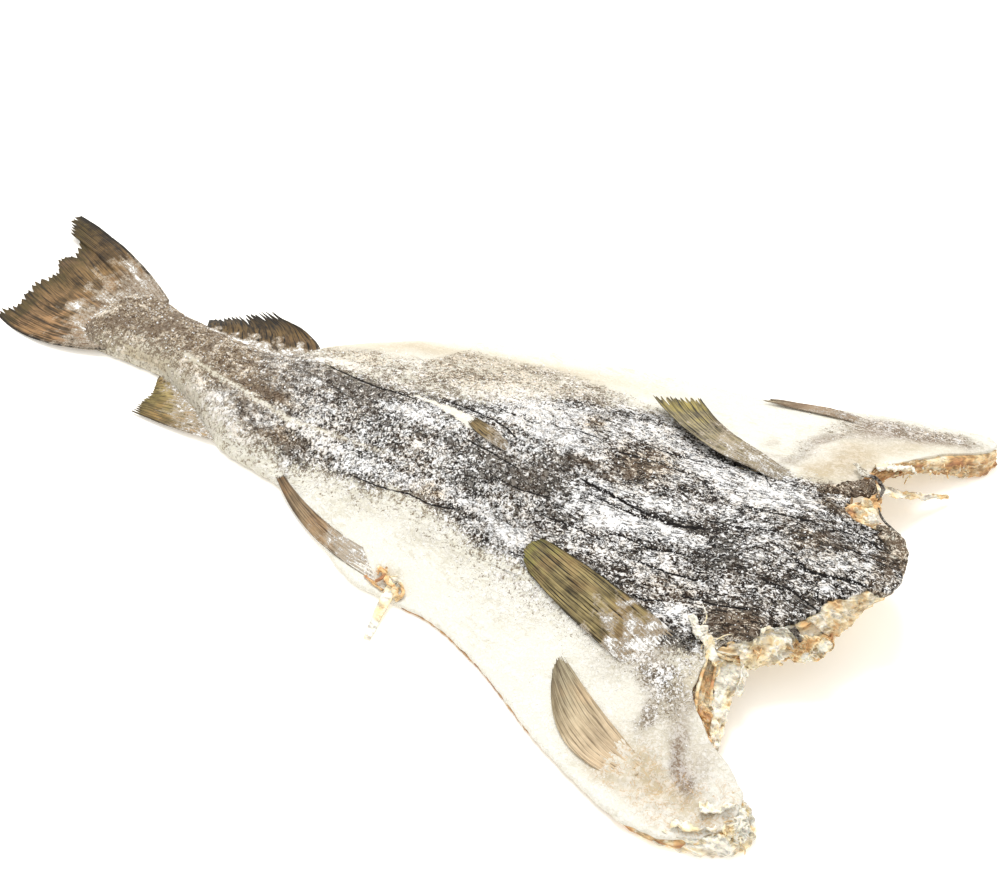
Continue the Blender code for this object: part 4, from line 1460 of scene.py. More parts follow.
FINS = (
    Fin(
        "tail_fin", TAIL_FINISH, root=((-222, 45), (-240, 18), (-226, -13)),
        tip=(
            (-360, 106), (-366, 100), (-358, 92), (-353, 84), (-343, 84), (-337, 76), (-333, 62),
            (-340, 55), (-332, 45), (-331, 35), (-337, 24), (-334, 10), (-332, -3), (-338, -11),
            (-335, -19),
        ),
        first_bow=(0, 7), last_bow=(0, -13), root_height=10.0, tip_height=3.2, bank=6.0, thick=4.0,
        tip_thick=0.8, rays=36, ridge=0.5, ragged=0.06, notches=0.03, cells=(90, 280), wave=0.8, curl=-1.2,
        salt_root=0.42, salt_reach=0.80,
        salt_patches=patches(
            (-287, 12, 8, 6, 0.6), (-268, 62, 24, 2.5, 0.42, -26), (-262, -9, 12, 2.5, 0.35, -30),
            (-290, 48, 24, 4, 0.2, -22), (-276, 30, 20, 4, 0.25, -12), (-272, 4, 5, 12, 0.3),
        ),
        seed=61,
    ),
    Fin(
        "back_fin_3", BACK_FINISH, root=((-71, 26), (-124, 24), (-172, 26)),
        tip=((-143, 69), (-151, 72), (-157, 64), (-166, 57), (-174, 50), (-182, 41)), first_bow=(8, 8),
        root_height=18.5, tip_height=12, thick=2.4, rays=20, ragged=0.20, notches=0.14, cells=(60, 200),
        salt_root=0.72, salt_reach=0.46, wave=1.2, seed=62,
    ),
    Fin(
        "belly_fin_2", BELLY_FINISH, root=((-182, -15), (-140, -32), (-100, -54)),
        tip=((-182, -22), (-177, -34), (-178, -46), (-177, -57)), last_bow=(0, -2), root_height=4.5,
        tip_height=1.5, thick=2.0, rays=18, ragged=0.09, notches=0.05, cells=(46, 160), salt_root=0.62,
        salt_reach=0.9, wave=0.5, seed=63,
    ),
    Fin(
        "belly_fin_1", FRONT_BELLY_FINISH, root=((38, -94), (58, -111)), tip=((-44, -63), (-48, -66)),
        first_bow=(0, -4), last_bow=(0, -9), rides_skin=True, lift=0.7, tip_lift=1.0, droop=0.75, thick=1.6,
        rays=7, ragged=0.02, notches=0.02, cells=(110, 60), salt_root=0.6, salt_reach=0.7, wave=0.3,
        seed=64,
    ),
    Fin(
        "near_pectoral_fin", PECTORAL_FINISH, root=((254, -86), (243, -99), (231, -111)),
        tip=((148, -53), (141, -53), (136, -57), (134, -63), (137, -69), (144, -75)), first_bow=(0, 1),
        last_bow=(0, -3), rides_skin=True, lift=-1.3, tip_lift=3.4, rays=16, ridge=0.6, ragged=0.012,
        notches=0.01, cells=(120, 132), salt_root=0.88, salt_reach=0.56, curl=-1.2, wave=0.8, seed=65,
    ),
    Fin(
        "far_pectoral_fin", FAR_PECTORAL_FINISH, root=((256, 62), (255, 67), (256, 74)),
        tip=((143, 103), (150, 108), (157, 113), (164, 119), (170, 122)), first_bow=(2, -20),
        last_bow=(-2, -12), rides_skin=True, lift=-1.6, tip_lift=8.0, rays=10, ragged=0.06, notches=0.03,
        cells=(110, 100), salt_root=0.62, salt_reach=1.0, wave=0.9, seed=66,
    ),
    Fin(
        "near_pelvic_fin", PELVIC_FINISH, root=((259, -156), (258, -163), (252, -169)),
        tip=((187, -114), (185, -118), (186, -124), (189, -131)), first_bow=(-2, -1), last_bow=(-7, -11),
        rides_skin=True, lift=-0.8, tip_lift=1.1, rays=11, ragged=0.02, notches=0.02, cells=(110, 110),
        salt_root=0.04, salt_reach=0.4, wave=0.8, seed=67,
    ),
    Fin(
        "far_pelvic_fin", FAR_PELVIC_FINISH, root=((284, 158), (284, 166)), tip=((204, 154), (207, 158)),
        first_bow=(0, 1), last_bow=(0, 5), rides_skin=True, lift=-1.8, tip_lift=2.4, rays=6, ragged=0.16,
        notches=0.12, cells=(90, 60), salt_root=0.62, salt_reach=1.1, wave=0.8, seed=68,
    ),
    Fin(
        "back_fin_2", FOLDED_FINISH, root=((94, -2), (91, 2)), tip=((53, 11), (55, 17)), first_bow=(-2, -3),
        last_bow=(0, 2), rides_skin=True, lift=-0.8, tip_lift=1.6, rays=6, ragged=0.12, notches=0.08,
        cells=(60, 48), salt_root=0.62, salt_reach=1.0, wave=0.6, seed=69,
    ),
)


# ---- Torn and cut edges ----


class Stuff(Enum):
    """What a torn part is made of: the flesh finish's warmth and depth."""

    WHITE = (-0.12, 0.0)
    CREAM = (0.08, 0.0)
    YELLOW = (0.34, 0.0)
    TAN = (0.30, 0.05)
    OLIVE = (0.30, 0.15)
    SHRED = (0.20, 0.10)
    AMBER = (0.45, 0.10)
    RUSSET = (0.56, 0.14)
    LAYERED = (0.50, 0.31)
    SEAM = (0.60, 0.55)


def set_flesh(work: BMesh, points: Array, warmth: Array, depth: Array) -> None:
    """Moves the vertices to points, none below the table, and stores their warmth and depth."""
    points[:, 2] = np.maximum(points[:, 2], 0.1)
    warm, deep = (work.verts.layers.float.new(name) for name in ("warmth", "depth"))
    for vert, place, tone, dark in zip(work.verts, points, np.clip(warmth, 0, 1), np.clip(depth, 0, 1)):
        vert.co = place
        vert[warm] = tone
        vert[deep] = dark


def follow(points: Sequence[Point], u: Array, cells: int) -> tuple[Array, Array, Array]:
    """A smooth line with the directions beside it and up from it.

    Args:
        points: the line's points.
        u: shares of the way along it.
        cells: how many steps it is cut into.

    Returns:
        Places on the line, and unit vectors across it and up from it.
    """
    ahead = unit_rows(direction(points, u, cells))
    across = unit_rows(np.cross(ahead, (0, 0, 1)))
    return spline(points, u), across, np.cross(across, ahead)


@dataclass(frozen=True)
class Strand:
    """A closed tapered tube along a smooth path, as a lump of flesh, a rolled edge or a fibre."""

    points: tuple[Point, ...]
    width: float
    height: float
    stuff: Stuff = Stuff.TAN
    rings: int = 60
    sides: int = 20
    rough: float = 0.0
    cell: float = 4.0
    taper: float = 0.12

    def build(self, seed: int) -> BMesh:
        """Makes the tube, in millimetres, with its lumps picked by seed."""
        work = bmesh.new()
        bmesh.ops.create_grid(work, x_segments=self.rings, y_segments=self.sides, size=0.5)
        u, v, _ = places(work).T + 0.5
        centre, across, up = follow(self.points, u, self.rings)
        turn = 2 * np.pi * v
        ends = np.clip(np.minimum(u, 1 - u) / self.taper, 0, 1)
        swell = np.sqrt(np.clip(1 - (1 - ends) ** 2, 0, 1))
        grain, along = Grain(seed), u * path_length(self.points)
        round_about = np.abs(v - 0.5) * 2 * (self.width + self.height) * 1.5
        lumps = self.rough * grain(along, round_about, self.cell, 3)
        wide, tall = (self.width + lumps) * swell, (self.height + lumps) * swell
        points = centre + across * (wide * np.cos(turn))[:, None] + up * (tall * np.sin(turn))[:, None]
        warmth, depth = self.stuff.value
        tone = 0.14 * grain(along, round_about + 40, 6, 2) - 0.05 * lumps
        set_flesh(work, points, warmth + tone, depth - 0.5 * tone)
        bmesh.ops.remove_doubles(work, verts=work.verts, dist=1e-4)
        return work


@dataclass(frozen=True)
class Ribbon:
    """A thin torn sheet along a path, turned by tilt about it, with ragged sides."""

    points: tuple[Point, ...]
    width: float
    end_width: float
    stuff: Stuff = Stuff.CREAM
    tilt: float = 0.0
    thick: float = 0.7
    cells: tuple[int, int] = (50, 16)
    crinkle: float = 0.8
    ragged: float = 0.15

    def build(self, seed: int) -> BMesh:
        """Makes the sheet, in millimetres, with its crinkles picked by seed."""
        work, shares = closed_sheet(*self.cells)
        u, v, w = shares.T
        centre, flat, up = follow(self.points, u, self.cells[0])
        turn = math.radians(self.tilt)
        across = flat * math.cos(turn) + up * math.sin(turn)
        normal = up * math.cos(turn) - flat * math.sin(turn)
        grain, along = Grain(seed), u * path_length(self.points)
        wide = self.width + (self.end_width - self.width) * u
        place = (v - 0.5) * wide * (1 + self.ragged * grain(along, 0 * u, 5, 3))
        bump = self.crinkle * grain(along, v * self.width, 6, 3)
        points = centre + across * place[:, None] + normal * (bump - w * self.thick)[:, None]
        points[:, 2] = np.maximum(points[:, 2], 0.1 + 0.3 * (1 - w))
        warmth, depth = self.stuff.value
        tone = 0.12 * bump / max(self.crinkle, 0.1)
        set_flesh(work, points, warmth - tone, depth + 0.5 * tone)
        return work


@dataclass(frozen=True)
class Chunk:
    """A lump of torn flesh: a squashed ball with an uneven skin."""

    centre: Point
    size: Point  # half sizes along x, y and z
    stuff: Stuff = Stuff.TAN
    turn: float = 0.0
    rough: float = 0.5
    cell: float = 4.0
    fineness: int = 4

    def build(self, seed: int) -> BMesh:
        """Makes the lump, in millimetres, with its skin picked by seed."""
        work = bmesh.new()
        bmesh.ops.create_icosphere(work, subdivisions=self.fineness, radius=1.0)
        balls = places(work)
        grain, reach = Grain(seed), np.array(self.size)
        spots = balls * reach
        a, b = spots[:, 0] + spots[:, 2] * 0.8, spots[:, 1] - spots[:, 2] * 0.6
        lumps = 0.5 * grain(a, b, self.cell, 4) + 0.9 * (0.3 - np.abs(grain(a + 60, b, self.cell * 0.7, 3)))
        spots = spots + balls * (lumps * self.rough * reach.mean())[:, None]
        turn = math.radians(self.turn)
        x, y, z = spots.T
        turned = (x * math.cos(turn) - y * math.sin(turn), x * math.sin(turn) + y * math.cos(turn), z)
        warmth, depth = self.stuff.value
        points = np.stack(turned, 1) + self.centre
        # Warmer and darker in the dents of the lump: painted shade.
        set_flesh(work, points, warmth - 0.25 * lumps, depth - 0.5 * lumps - 0.05)
        return work


@dataclass(frozen=True)
class TornFace:
    """A torn wall of flesh between an upper line and a lower line."""

    upper: tuple[Point, ...]
    lower: tuple[Point, ...]
    stuff: Stuff = Stuff.TAN
    bulge: float = 2.0
    rough: float = 3.0
    cell: float = 6.0
    drawn: float = 1.0  # how far its folds are drawn out along the wall
    fine: float = 0.25
    thick: float = 4.0
    cells: tuple[int, int] = (240, 46)

    def build(self, seed: int) -> BMesh:
        """Makes the wall, in millimetres, with its folds picked by seed."""
        work, shares = closed_sheet(*self.cells)
        u, v, w = shares.T
        upper = spline(self.upper, u)
        fall = spline(self.lower, u) - upper
        height = np.linalg.norm(fall, axis=1, keepdims=True)
        out = unit_rows(np.cross(direction(self.lower, u, self.cells[0]), fall))
        out *= np.sign(out[:, 0].mean())
        grain, s, t = Grain(seed), u * path_length(self.lower), v * height.mean()
        coarse = 1 - np.clip(np.abs(grain(s / self.drawn, t, self.cell, 3)) * 1.9, 0, 1)
        fine = 1 - np.clip(np.abs(grain(s / self.drawn + 31, t + 57, self.cell * 0.4, 3)) * 1.7, 0, 1)
        ridge = (1 - self.fine) * coarse**1.5 + self.fine * fine**1.5
        body = np.clip(8 * v * (1 - v), 0, 1)
        reach = self.bulge * np.sqrt(body) + self.rough * (ridge - 0.4) * (0.3 + 0.7 * body) - w * self.thick
        ragged = grain(s, 0 * v + 90, 5, 3) * 1.8 * (2 * v - 1) ** 2
        points = upper + fall * v[:, None] + fall / height * ragged[:, None] + out * reach[:, None]
        warmth, depth = self.stuff.value
        # Warmer and darker in the valleys between the folds: painted shade.
        tone = 0.20 * grain(s + 200, t, 14, 2) + 0.20 * (0.45 - ridge)
        set_flesh(work, points, warmth + tone, depth + np.clip(0.28 - ridge, 0, 1))
        return work


def crumbs(
    path: tuple[Point, ...], count: int, spread: float, size: tuple[float, float], seed: int
) -> tuple[Chunk, ...]:
    """Small lumps strewn along a path.

    Args:
        path: where they lie, in millimetres.
        count: how many.
        spread: how far they stray from the path.
        size: smallest and largest half size.
        seed: picks their places.

    Returns:
        The lumps.
    """
    generator = np.random.default_rng(seed)
    centres = spline(path, generator.random(count)) + generator.normal(0, spread, (count, 3))
    kinds = (Stuff.CREAM, Stuff.CREAM, Stuff.TAN, Stuff.TAN, Stuff.AMBER, Stuff.RUSSET)
    lumps = []
    for centre in centres:
        half = size[0] + (size[1] - size[0]) * generator.random(3)
        kind = kinds[generator.integers(len(kinds))]
        lumps.append(Chunk(tuple(centre), tuple(half), kind, 360 * generator.random(), 0.4, 3.0, 3))
    return tuple(lumps)


@dataclass
class TornEdge:
    """Walls, strands, ribbons and lumps of one cut edge, joined into one piece."""

    name: str
    parts: tuple[Strand | Ribbon | Chunk | TornFace, ...]
    seed: int

    def build(self, material: Material) -> Object:
        """Makes the piece, in the flesh finish."""
        joined = bmesh.new()
        for name in ("warmth", "depth"):
            joined.verts.layers.float.new(name)
        for number, part in enumerate(self.parts):
            work = part.build(self.seed + number)
            bmesh.ops.recalc_face_normals(work, faces=work.faces)
            loose = bpy.data.meshes.new("loose")
            work.to_mesh(loose)
            work.free()
            joined.from_mesh(loose)
            bpy.data.meshes.remove(loose)
        data = write_mesh(self.name, joined, places(joined))
        return finish_piece(self.name, data, material)


CUT_EDGES = (
    TornEdge("nape_flesh", (
        TornFace(
            (
                (264, -82, 33), (273, -76, 34), (281, -66, 35.5), (286, -57, 37), (297, -50, 39),
                (305, -42, 41), (312, -28, 43), (321, -19, 44), (331, -6, 44),
            ),
            (
                (280, -80, 21), (287, -74, 20), (296, -65, 21), (304, -58, 21), (313, -51, 22),
                (320, -41, 26), (325, -26, 29), (330, -12, 34), (334, -3, 38),
            ),
            Stuff.TAN, 1.0, 2.8, 12.0, 1.4, 0.14, cells=(300, 50),
        ),
        TornFace(
            ((307, -43, 40.5), (310, -30, 43), (316, -21, 44.3), (324, -14, 45), (332, -5, 44.5)),
            ((318, -41, 31), (324, -32, 29), (328, -22, 32), (331, -12, 35.5), (335, -4, 41)), Stuff.OLIVE,
            2.4, 1.9, 8.0, 1.2, 0.18, thick=2.0, cells=(150, 50),
        ),
        TornFace(
            ((299, -57, 31), (304, -51, 34), (312, -46, 34), (320, -39, 32)),
            ((304, -60, 23), (311, -57, 21.5), (318, -52, 22.5), (323, -43, 27)), Stuff.YELLOW, 2.4, 3.2,
            5.0, fine=0.3, cells=(120, 50),
        ),
        TornFace(
            ((277, -74, 33), (283, -63, 35), (291, -55, 36), (300, -53, 34)),
            ((281, -77, 22), (289, -73, 21), (298, -66, 23), (305, -58, 27)), Stuff.CREAM, 2.6, 2.6, 11.0,
            fine=0.12, thick=3.0, cells=(150, 50),
        ),
        Chunk((318, -46, 30), (5, 4, 4), Stuff.CREAM, 55, 0.35, 5.0),
        Chunk((310, -54, 24), (5, 4, 3), Stuff.CREAM, 40, 0.35, 5.0),
        *crumbs(((290, -73, 22), (302, -60, 23), (314, -50, 25), (322, -38, 28)), 12, 1.4, (0.7, 1.5), 7),
        Ribbon(
            ((282, -60, 37), (290, -53, 38), (299, -51, 37), (306, -50, 34)), 8, 5, Stuff.CREAM, 30, 1.0,
            (70, 26), 2.2, 0.3,
        ),
        Strand(
            ((268, -84, 33), (274, -81, 29), (279, -77, 26), (285, -72, 24)), 1.2, 1.0, Stuff.AMBER, 40, 12,
            0.5, 4.0,
        ),
    ), 101),
    TornEdge("near_notch", (
        TornFace(
            (
                (261, -82, 33), (263, -92, 28), (266, -104, 23), (271, -118, 18), (280, -131, 12),
                (291, -144, 9),
            ),
            (
                (276, -82, 22), (276, -95, 17), (278, -108, 12), (283, -121, 7), (290, -133, 4),
                (299, -147, 2),
            ),
            Stuff.TAN, -1.0, 1.8, 9.0, 3.0, cells=(200, 40),
        ),
        Chunk((274, -112, 15), (4, 6, 4), Stuff.RUSSET, 70),
        Chunk((281, -125, 10), (3, 5, 3), Stuff.RUSSET, 60),
        Ribbon(
            ((276, -77, 27), (278, -90, 21.5), (281, -104, 16), (285, -118, 10), (289, -133, 4.5)), 17, 4,
            Stuff.CREAM, 20, 1.2, (130, 36), 2.2, 0.22,
        ),
        Ribbon(
            ((284, -78, 25), (286, -86, 22), (287, -94, 18)), 8, 4, Stuff.WHITE, 50, 0.8, (50, 20), 2.0,
            0.4,
        ),
        Ribbon(
            ((252, -75, 38.5), (258, -78, 37.5), (265, -82, 34), (272, -85, 29)), 9, 11, Stuff.CREAM, 25,
            1.0, (60, 26), 2.0, 0.3,
        ),
        Ribbon(
            ((246, -70, 40), (251, -75, 39), (257, -80, 36)), 4, 6, Stuff.CREAM, 10, 0.8, (40, 14), 1.0,
            0.3,
        ),
        Strand(
            ((264, -84, 34), (265, -94, 29), (267, -106, 24), (272, -120, 18.5)), 1.1, 0.9, Stuff.TAN, 80,
            12, 0.4, 4.0,
        ),
        Strand(((270, -88, 28), (272, -96, 23), (276, -108, 17)), 0.9, 0.8, Stuff.AMBER, 50, 10, 0.4, 4.0),
    ), 131),
    TornEdge("far_flap_cut", (
        TornFace(
            (
                (293, 95, 32), (298, 107, 29.5), (305, 118, 27.5), (313, 129, 25), (321, 142, 21.5),
                (337, 159, 18), (351, 171, 14), (355, 182, 11),
            ),
            (
                (303, 95, 27), (305, 106, 25), (314, 121, 21), (324, 135, 15), (335, 147, 9),
                (345, 155, 3.5), (356, 166, 1), (360, 180, 1),
            ),
            Stuff.LAYERED, 1.2, 2.8, 6.0, 4.5, 0.45, cells=(260, 36),
        ),
        *crumbs(((303, 104, 26), (318, 128, 20), (335, 148, 12), (352, 166, 5)), 12, 1.0, (0.6, 1.6), 10),
        Ribbon(
            ((298, 104, 34), (305, 110, 32.5), (312, 116, 30.5), (318, 121, 27)), 10, 8, Stuff.WHITE, 30,
            1.2, (70, 30), 2.4, 0.3,
        ),
    ), 161),
    TornEdge("near_flap_end", (
        TornFace(
            (
                (288, -143, 12), (302, -150, 13), (312, -155, 13), (318, -164, 11), (312, -175, 9),
                (296, -183, 7), (278, -188, 6),
            ),
            (
                (296, -145, 2), (307, -149, 1), (320, -153, 1), (327, -165, 1), (320, -179, 0.5),
                (302, -188, 0.5), (282, -191, 0.5),
            ),
            Stuff.WHITE, 1.4, 2.6, 12.0, 1.5, 0.12, cells=(220, 36),
        ),
        TornFace(
            ((303, -152, 14.5), (311, -156, 14), (316, -164, 12.5), (311, -173, 11)),
            ((312, -151, 7), (321, -156, 5), (325, -166, 4), (318, -178, 4)), Stuff.CREAM, 2.0, 3.4, 6.0,
            thick=2.5, cells=(120, 40),
        ),
        Ribbon(
            ((296, -168, 13.5), (304, -164, 14), (311, -157, 14.5)), 9, 7, Stuff.CREAM, 15, 1.0, (60, 26),
            2.2, 0.3,
        ),
        Ribbon(
            ((286, -180, 9.5), (297, -178, 10.5), (308, -173, 11.5)), 8, 7, Stuff.CREAM, 25, 1.0, (60, 26),
            1.8, 0.3,
        ),
        *crumbs(
            ((300, -154, 13), (314, -158, 11), (318, -166, 9), (308, -176, 8)), 12, 1.8, (0.8, 2.0), 11,
        ),
    ), 191),
    TornEdge("neck_far_flesh", (
        TornFace(
            (
                (333, 40, 43), (320, 43, 43), (306, 44, 42), (297, 51, 41), (298, 60, 40), (304, 68, 38),
                (303, 80, 36),
            ),
            (
                (335, 42, 35), (325, 47, 34), (315, 50, 34), (311, 56, 33), (310, 64, 32), (311, 72, 31),
                (308, 82, 29),
            ),
            Stuff.AMBER, 1.2, 3.4, 5.0, cells=(200, 36),
        ),
        Chunk((301, 52, 40.5), (7, 5, 3), Stuff.AMBER, 0),
        Chunk((307, 55, 39), (6, 5, 3), Stuff.YELLOW, 20), Chunk((309, 64, 36), (4, 6, 3), Stuff.YELLOW, 0),
        Chunk((304, 64, 39), (4, 4, 3), Stuff.YELLOW, 0), Chunk((311, 50, 40), (5, 3, 3), Stuff.CREAM, 0),
        *crumbs(((298, 54, 41), (306, 49, 41), (311, 58, 37), (308, 72, 35)), 16, 1.4, (0.8, 2.0), 12),
        Ribbon(
            ((303, 91, 29), (313, 100, 22), (324, 112, 14), (342, 131, 5.5)), 15, 2.5, Stuff.SHRED, 8, 0.7,
            (80, 30), 1.6, 0.3,
        ),
    ), 221),
    TornEdge("vent", (
        Strand(
            ((54, -102, 9), (60, -105, 10), (66, -109, 9), (72, -112, 8), (77, -117, 5)), 1.7, 1.4,
            Stuff.YELLOW, 60, 20, 0.9, 3.0,
        ),
        Strand(((60, -101, 11), (62, -107, 10), (58, -113, 7)), 1.0, 0.9, Stuff.RUSSET, 30, 12, 0.4, 3.0),
        Strand(
            ((66, -107, 10), (73, -107, 9), (78, -112, 7), (76, -118, 4)), 1.1, 1.0, Stuff.TAN, 36, 12, 0.5,
            3.0,
        ),
        Ribbon(
            ((70, -109, 8), (70, -118, 5), (72, -132, 3), (75, -148, 1.2)), 8, 4.5, Stuff.CREAM, 6, 1.2,
            (60, 16), 0.5, 0.12,
        ),
        Ribbon(
            ((50, -109, 6), (57, -112, 5.5), (65, -114, 5)), 4, 2.5, Stuff.RUSSET, 30, 0.6, (24, 10), 0.4,
            0.2,
        ),
    ), 251),
)


@dataclass(frozen=True)
class SkinStrip:
    """A strip of skin along a path, such as the rolled lip of the neck, in the skin's own finish."""

    name: str
    strip: Strand | Ribbon
    pigment: float
    brown: float
    salt: float

    def build(self, material: Material, seed: int) -> Object:
        """Makes the strip in the skin finish, with its lumps picked by seed."""
        work = self.strip.build(seed)
        points = places(work)
        data = write_mesh(self.name, work, points)
        x, y, _ = points.T
        zones = {"pigment": self.pigment, "brown": self.brown, "salt": self.salt, "crease": FAR_FROM_CREASE}
        same = {zone: np.full(len(points), zones.get(zone, 0.0)) for zone in SkinFinish.ZONES}
        warm = np.clip(0.5 * FINE(x, y, 6, 2), 0, 1)
        keep_numbers(data, {**same, "warm": warm, "flow": points * Place.unit})
        return finish_piece(self.name, data, material)


SKIN_STRIPS = (
    SkinStrip("neck_lip", Strand((
        (330, -8, 43), (338, -4, 43.5), (340, 5, 44), (340, 16, 44.5), (338, 27, 45), (334, 36, 45.5),
        (326, 41, 45.5), (316, 43, 44.5),
    ), 2.4, 2.2, Stuff.TAN, 150, 24, 0.8, 5.0, 0.06), 0.80, 0.9, 0.34),
    SkinStrip("neck_fold", Ribbon((
        (328, -6, 45), (333, 1, 45.8), (335, 12, 46.4), (334, 24, 47), (330, 33, 47.2), (322, 39, 46.8),
    ), 12, 9, Stuff.TAN, 6, 2.2, (90, 24), 1.1, 0.14), 0.82, 0.9, 0.36),
    SkinStrip("collar_tongue", Ribbon((
        (273, 61, 40.2), (281, 65, 39.8), (290, 71, 39.4), (298, 77, 38.6), (305, 82, 36.5),
    ), 5, 15, Stuff.TAN, -14, 1.6, (90, 30), 1.6, 0.2), 1.0, 0.9, 0.30),
    SkinStrip("collar_curl", Strand((
        (297, 89, 39), (303, 87, 39.5), (308, 83, 38), (309, 77, 35),
    ), 1.3, 1.1, Stuff.TAN, 50, 16, 0.6, 4.0, 0.3), 1.0, 0.2, 0.04),
    SkinStrip("collar_tear", Ribbon((
        (285, 99, 35.5), (291, 93, 38), (297, 87, 39.5),
    ), 3, 9, Stuff.TAN, 20, 0.8, (40, 16), 0.8, 0.2), 0.42, 0.6, 0.25),
    SkinStrip("neck_thread", Strand((
        (311, 66, 38), (315, 59, 38), (321, 53, 39), (329, 48, 40),
    ), 0.8, 0.8, Stuff.TAN, 40, 10, 0.2, 4.0, 0.3), 1.0, 0.1, 0.02),
    SkinStrip("neck_flap", Ribbon((
        (300, -51, 39.5), (304, -53, 37.5), (307, -54, 34.5),
    ), 7, 2, Stuff.TAN, 20, 0.8, (26, 12), 0.6, 0.25), 1.0, 0.3, 0.05),
)


@dataclass
class LooseFibres:
    """Fine torn fibres that stand out along the cut edges, joined into one piece."""

    seed: int = 5
    sides: int = 5
    rings: int = 7

    # Start, end, how many, mean length and how warm.
    RUNS = (
        ((264, -80, 31), (292, -64, 32), 16, 6.0, Stuff.AMBER),
        ((292, -64, 28), (322, -30, 32), 14, 5.0, Stuff.TAN),
        ((268, -84, 30), (276, -120, 18), 14, 5.0, Stuff.AMBER),
        ((276, -120, 18), (300, -147, 9), 10, 4.0, Stuff.TAN),
        ((298, 108, 26), (350, 158, 9), 30, 5.0, Stuff.AMBER),
        ((292, 52, 38), (314, 56, 33), 22, 6.0, Stuff.AMBER),
        ((300, -150, 10), (322, -172, 7), 26, 6.0, Stuff.TAN),
        ((56, -104, 9), (78, -114, 6), 18, 6.0, Stuff.AMBER),
        ((252, -74, 38), (268, -82, 34), 18, 9.0, Stuff.CREAM),
    )

    def build(self, material: Material) -> Object:
        """Makes the fibres.

        Args:
            material: the flesh finish.

        Returns:
            The piece.
        """
        generator = np.random.default_rng(self.seed)
        parts = []
        for start, end, count, length, stuff in self.RUNS:
            for _ in range(count):
                foot = np.array(start) + (np.array(end) - start) * generator.random()
                foot = foot + generator.normal(0, 1.6, 3)
                heading = generator.normal(0, 1, 3) * (1, 1, 0.45)
                heading /= np.linalg.norm(heading)
                reach = length * (0.5 + generator.random())
                bend = generator.normal(0, 0.16 * reach, 3)
                middle, tip = foot + heading * reach * 0.5 + bend, foot + heading * reach
                path = (tuple(foot), tuple(middle), tuple(tip))
                size = 0.25 + 0.35 * generator.random()
                parts.append(Strand(path, size, size, stuff, self.rings, self.sides, 0.0, 4.0, 0.3))
        return TornEdge("loose_fibres", tuple(parts), 400).build(material)


@dataclass
class BellySeam:
    """The thin brown line of the cut along the near belly edge."""

    start: float = 80.0
    end: float = 262.0

    def build(self, material: Material) -> Object:
        """Makes the line."""
        x = np.linspace(self.start, self.end, 26)
        y = Board.near_edge(x) - 0.6 + 0.4 * EDGE(x, 0 * x, 12, 2)
        z = 1.0 + 0.3 * EDGE(x, 0 * x + 30, 14, 2)
        path = tuple(zip(x, y, z))
        line = Strand(path, 0.6, 0.6, Stuff.SEAM, 220, 10, 0.5, 5.0, 0.05)
        return TornEdge("belly_seam", (line,), 301).build(material)


# ---- Salt ----


@dataclass
class SaltGrains:
    """Loose crystals of one size, scattered where the skin is salted."""

    name: str
    count: int
    smallest: float
    largest: float
    seed: int
    cubes: bool = True

    def build(self, skin: Object, material: Material) -> Object:
        """Scatters the crystals.

        Args:
            skin: the piece they lie on, which holds a salt number for each vertex.
            material: the salt finish.

        Returns:
            The piece.
        """
        generator = np.random.default_rng(self.seed)
        verts, faces = self.crystal()
        spots, normals = self.spots(skin, generator)
        count = len(spots)
        sizes = self.smallest + (self.largest - self.smallest) * generator.random(count) ** 2.2
        stretch = 0.7 + 0.6 * generator.random((count, 1, 3))
        turns = self.turns(count, generator)
        local = verts[None] * stretch * (sizes * Place.unit / 2)[:, None, None]
        points = np.einsum("nij,nkj->nki", turns, local) + spots[:, None]
        points = points + normals[:, None] * (sizes * Place.unit * 0.22)[:, None, None]
        data = bpy.data.meshes.new(self.name)
        numbers = faces[None] + (np.arange(count) * len(verts))[:, None, None]
        data.from_pydata(points.reshape(-1, 3), [], numbers.reshape(-1, faces.shape[1]))
        piece = finish_piece(self.name, data, material)
        data.shade_flat()
        return piece

    def crystal(self) -> tuple[Array, Array]:
        """Corners and faces of one crystal, about 2 across."""
        work = bmesh.new()
        if self.cubes:
            bmesh.ops.create_cube(work, size=1.6)
        else:
            bmesh.ops.create_cone(work, cap_ends=True, segments=4, radius1=1.0, radius2=0.45, depth=1.2)
        bmesh.ops.triangulate(work, faces=work.faces)
        work.verts.index_update()
        verts = places(work)
        faces = np.array([[vert.index for vert in face.verts] for face in work.faces])
        work.free()
        return verts, faces

    def spots(self, skin: Object, generator: np.random.Generator) -> tuple[Array, Array]:
        """Places on the skin and the skin's normals there."""
        data = skin.data
        centres, normals = (read(data.polygons, key, (-1, 3)) for key in ("center", "normal"))
        at = read(data.loops, "vertex_index", kind=np.int32)[read(data.polygons, "loop_start", kind=np.int32)]
        salt, pigment = (read(data.attributes[zone].data, "value")[at] for zone in ("salt", "pigment"))
        chance = read(data.polygons, "area") * np.clip(normals[:, 2], 0, 1) * (salt**2 * pigment + 0.004)
        picked = generator.choice(len(centres), self.count, p=chance / chance.sum())
        jitter = generator.normal(0, 0.5 * Place.unit, (self.count, 3)) * (1, 1, 0)
        return centres[picked] + jitter, normals[picked]

    @staticmethod
    def turns(count: int, generator: np.random.Generator) -> Array:
        """Random rotations."""
        q = generator.normal(0, 1, (count, 4))
        w, x, y, z = (q / np.linalg.norm(q, axis=1, keepdims=True)).T
        return np.stack([
            1 - 2 * (y * y + z * z), 2 * (x * y - w * z), 2 * (x * z + w * y),
            2 * (x * y + w * z), 1 - 2 * (x * x + z * z), 2 * (y * z - w * x),
            2 * (x * z - w * y), 2 * (y * z + w * x), 1 - 2 * (x * x + y * y),
        ], 1).reshape(-1, 3, 3)


# ---- Studio ----


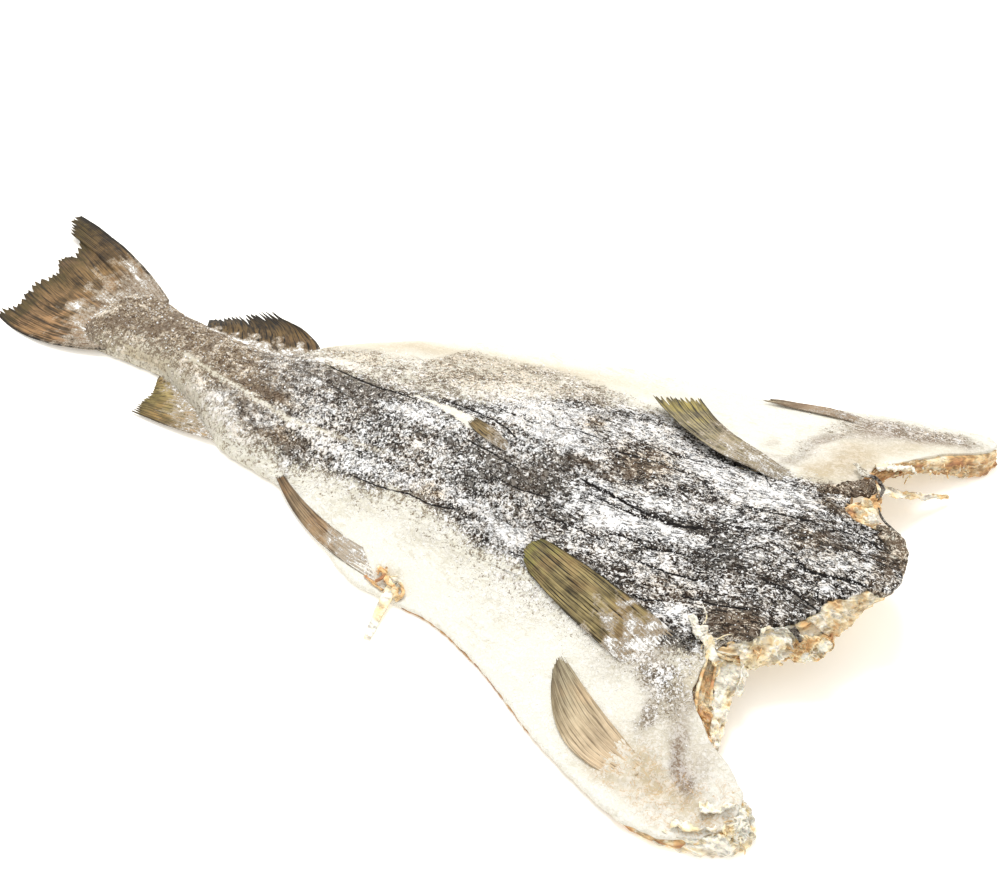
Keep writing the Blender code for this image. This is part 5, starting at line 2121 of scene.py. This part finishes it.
@dataclass
class Studio:
    """A pale floor, soft light and the camera, placed from the fish's own box."""

    azimuth: float = 29.0
    elevation: float = 43.0
    distance: float = 1009.8
    target: tuple[float, float] = (61.995, 38.04)
    field_of_view: float = 37.0
    sky: float = 1.0
    key_power: float = 23.0

    def build(self) -> None:
        """Sets up the floor, the lights and the camera."""
        self.floor()
        self.lights()
        self.camera()
        bpy.context.scene.view_settings.view_transform = "Standard"

    def floor(self) -> None:
        """A floor far larger than the view."""
        work = bmesh.new()
        bmesh.ops.create_grid(work, x_segments=1, y_segments=1, size=20)
        data = bpy.data.meshes.new("floor")
        work.to_mesh(data)
        work.free()
        data.transform(Matrix.Translation((0, 0, float(Place.origin[2]) - 0.0003)))
        data.materials.append(FloorFinish.material())
        piece = bpy.data.objects.new("floor", data)
        bpy.context.scene.collection.objects.link(piece)

    def lights(self) -> None:
        """An even white sky and a large soft lamp above and behind."""
        world = bpy.data.worlds.new("studio")
        bpy.context.scene.world = world
        world.use_nodes = True
        world.node_tree.nodes["Background"].inputs[0].default_value = (1.0, 0.995, 0.985, 1.0)
        world.node_tree.nodes["Background"].inputs[1].default_value = self.sky
        light = bpy.data.lights.new("key", "AREA")
        light.size = 0.8
        light.energy = self.key_power
        lamp = bpy.data.objects.new("key", light)
        bpy.context.scene.collection.objects.link(lamp)
        lamp.location = Place.metres((-380, 620, 1650))
        aim = Vector(Place.metres((0, 0, 0))) - lamp.location
        lamp.rotation_euler = aim.to_track_quat("-Z", "Y").to_euler()

    def camera(self) -> None:
        """The camera, looking down at the fish from its right side."""
        data = bpy.data.cameras.new("camera")
        data.angle = math.radians(self.field_of_view)
        a, e = math.radians(self.azimuth), math.radians(self.elevation)
        back = np.array([math.sin(a) * math.cos(e), -math.cos(a) * math.cos(e), math.sin(e)])
        target = np.array([*self.target, 0.0])
        camera = bpy.data.objects.new("camera", data)
        bpy.context.scene.collection.objects.link(camera)
        camera.location = Place.metres(target + back * self.distance)
        camera.rotation_euler = Vector(-back).to_track_quat("-Z", "Y").to_euler()
        bpy.context.scene.camera = camera


def main() -> None:
    """Builds the fish and its studio."""
    logging.basicConfig(level=logging.INFO, format="%(name)s: %(message)s")
    skin = SkinSide().build()
    skin_material = skin.data.materials[0]
    flesh = FleshSide().build()
    flesh_material = flesh.data.materials[0]
    for fin in FINS:
        fin.build()
    for edge in CUT_EDGES:
        edge.build(flesh_material)
    for number, strip in enumerate(SKIN_STRIPS):
        strip.build(skin_material, 501 + number)
    LooseFibres().build(flesh_material)
    BellySeam().build(flesh_material)
    salt = SaltFinish.material()
    SaltGrains("coarse_salt", 3500, 0.5, 1.3, 7).build(skin, salt)
    SaltGrains("fine_salt", 12000, 0.4, 0.9, 8, cubes=False).build(skin, salt)
    Studio().build()


if __name__ == "__main__":
    main()
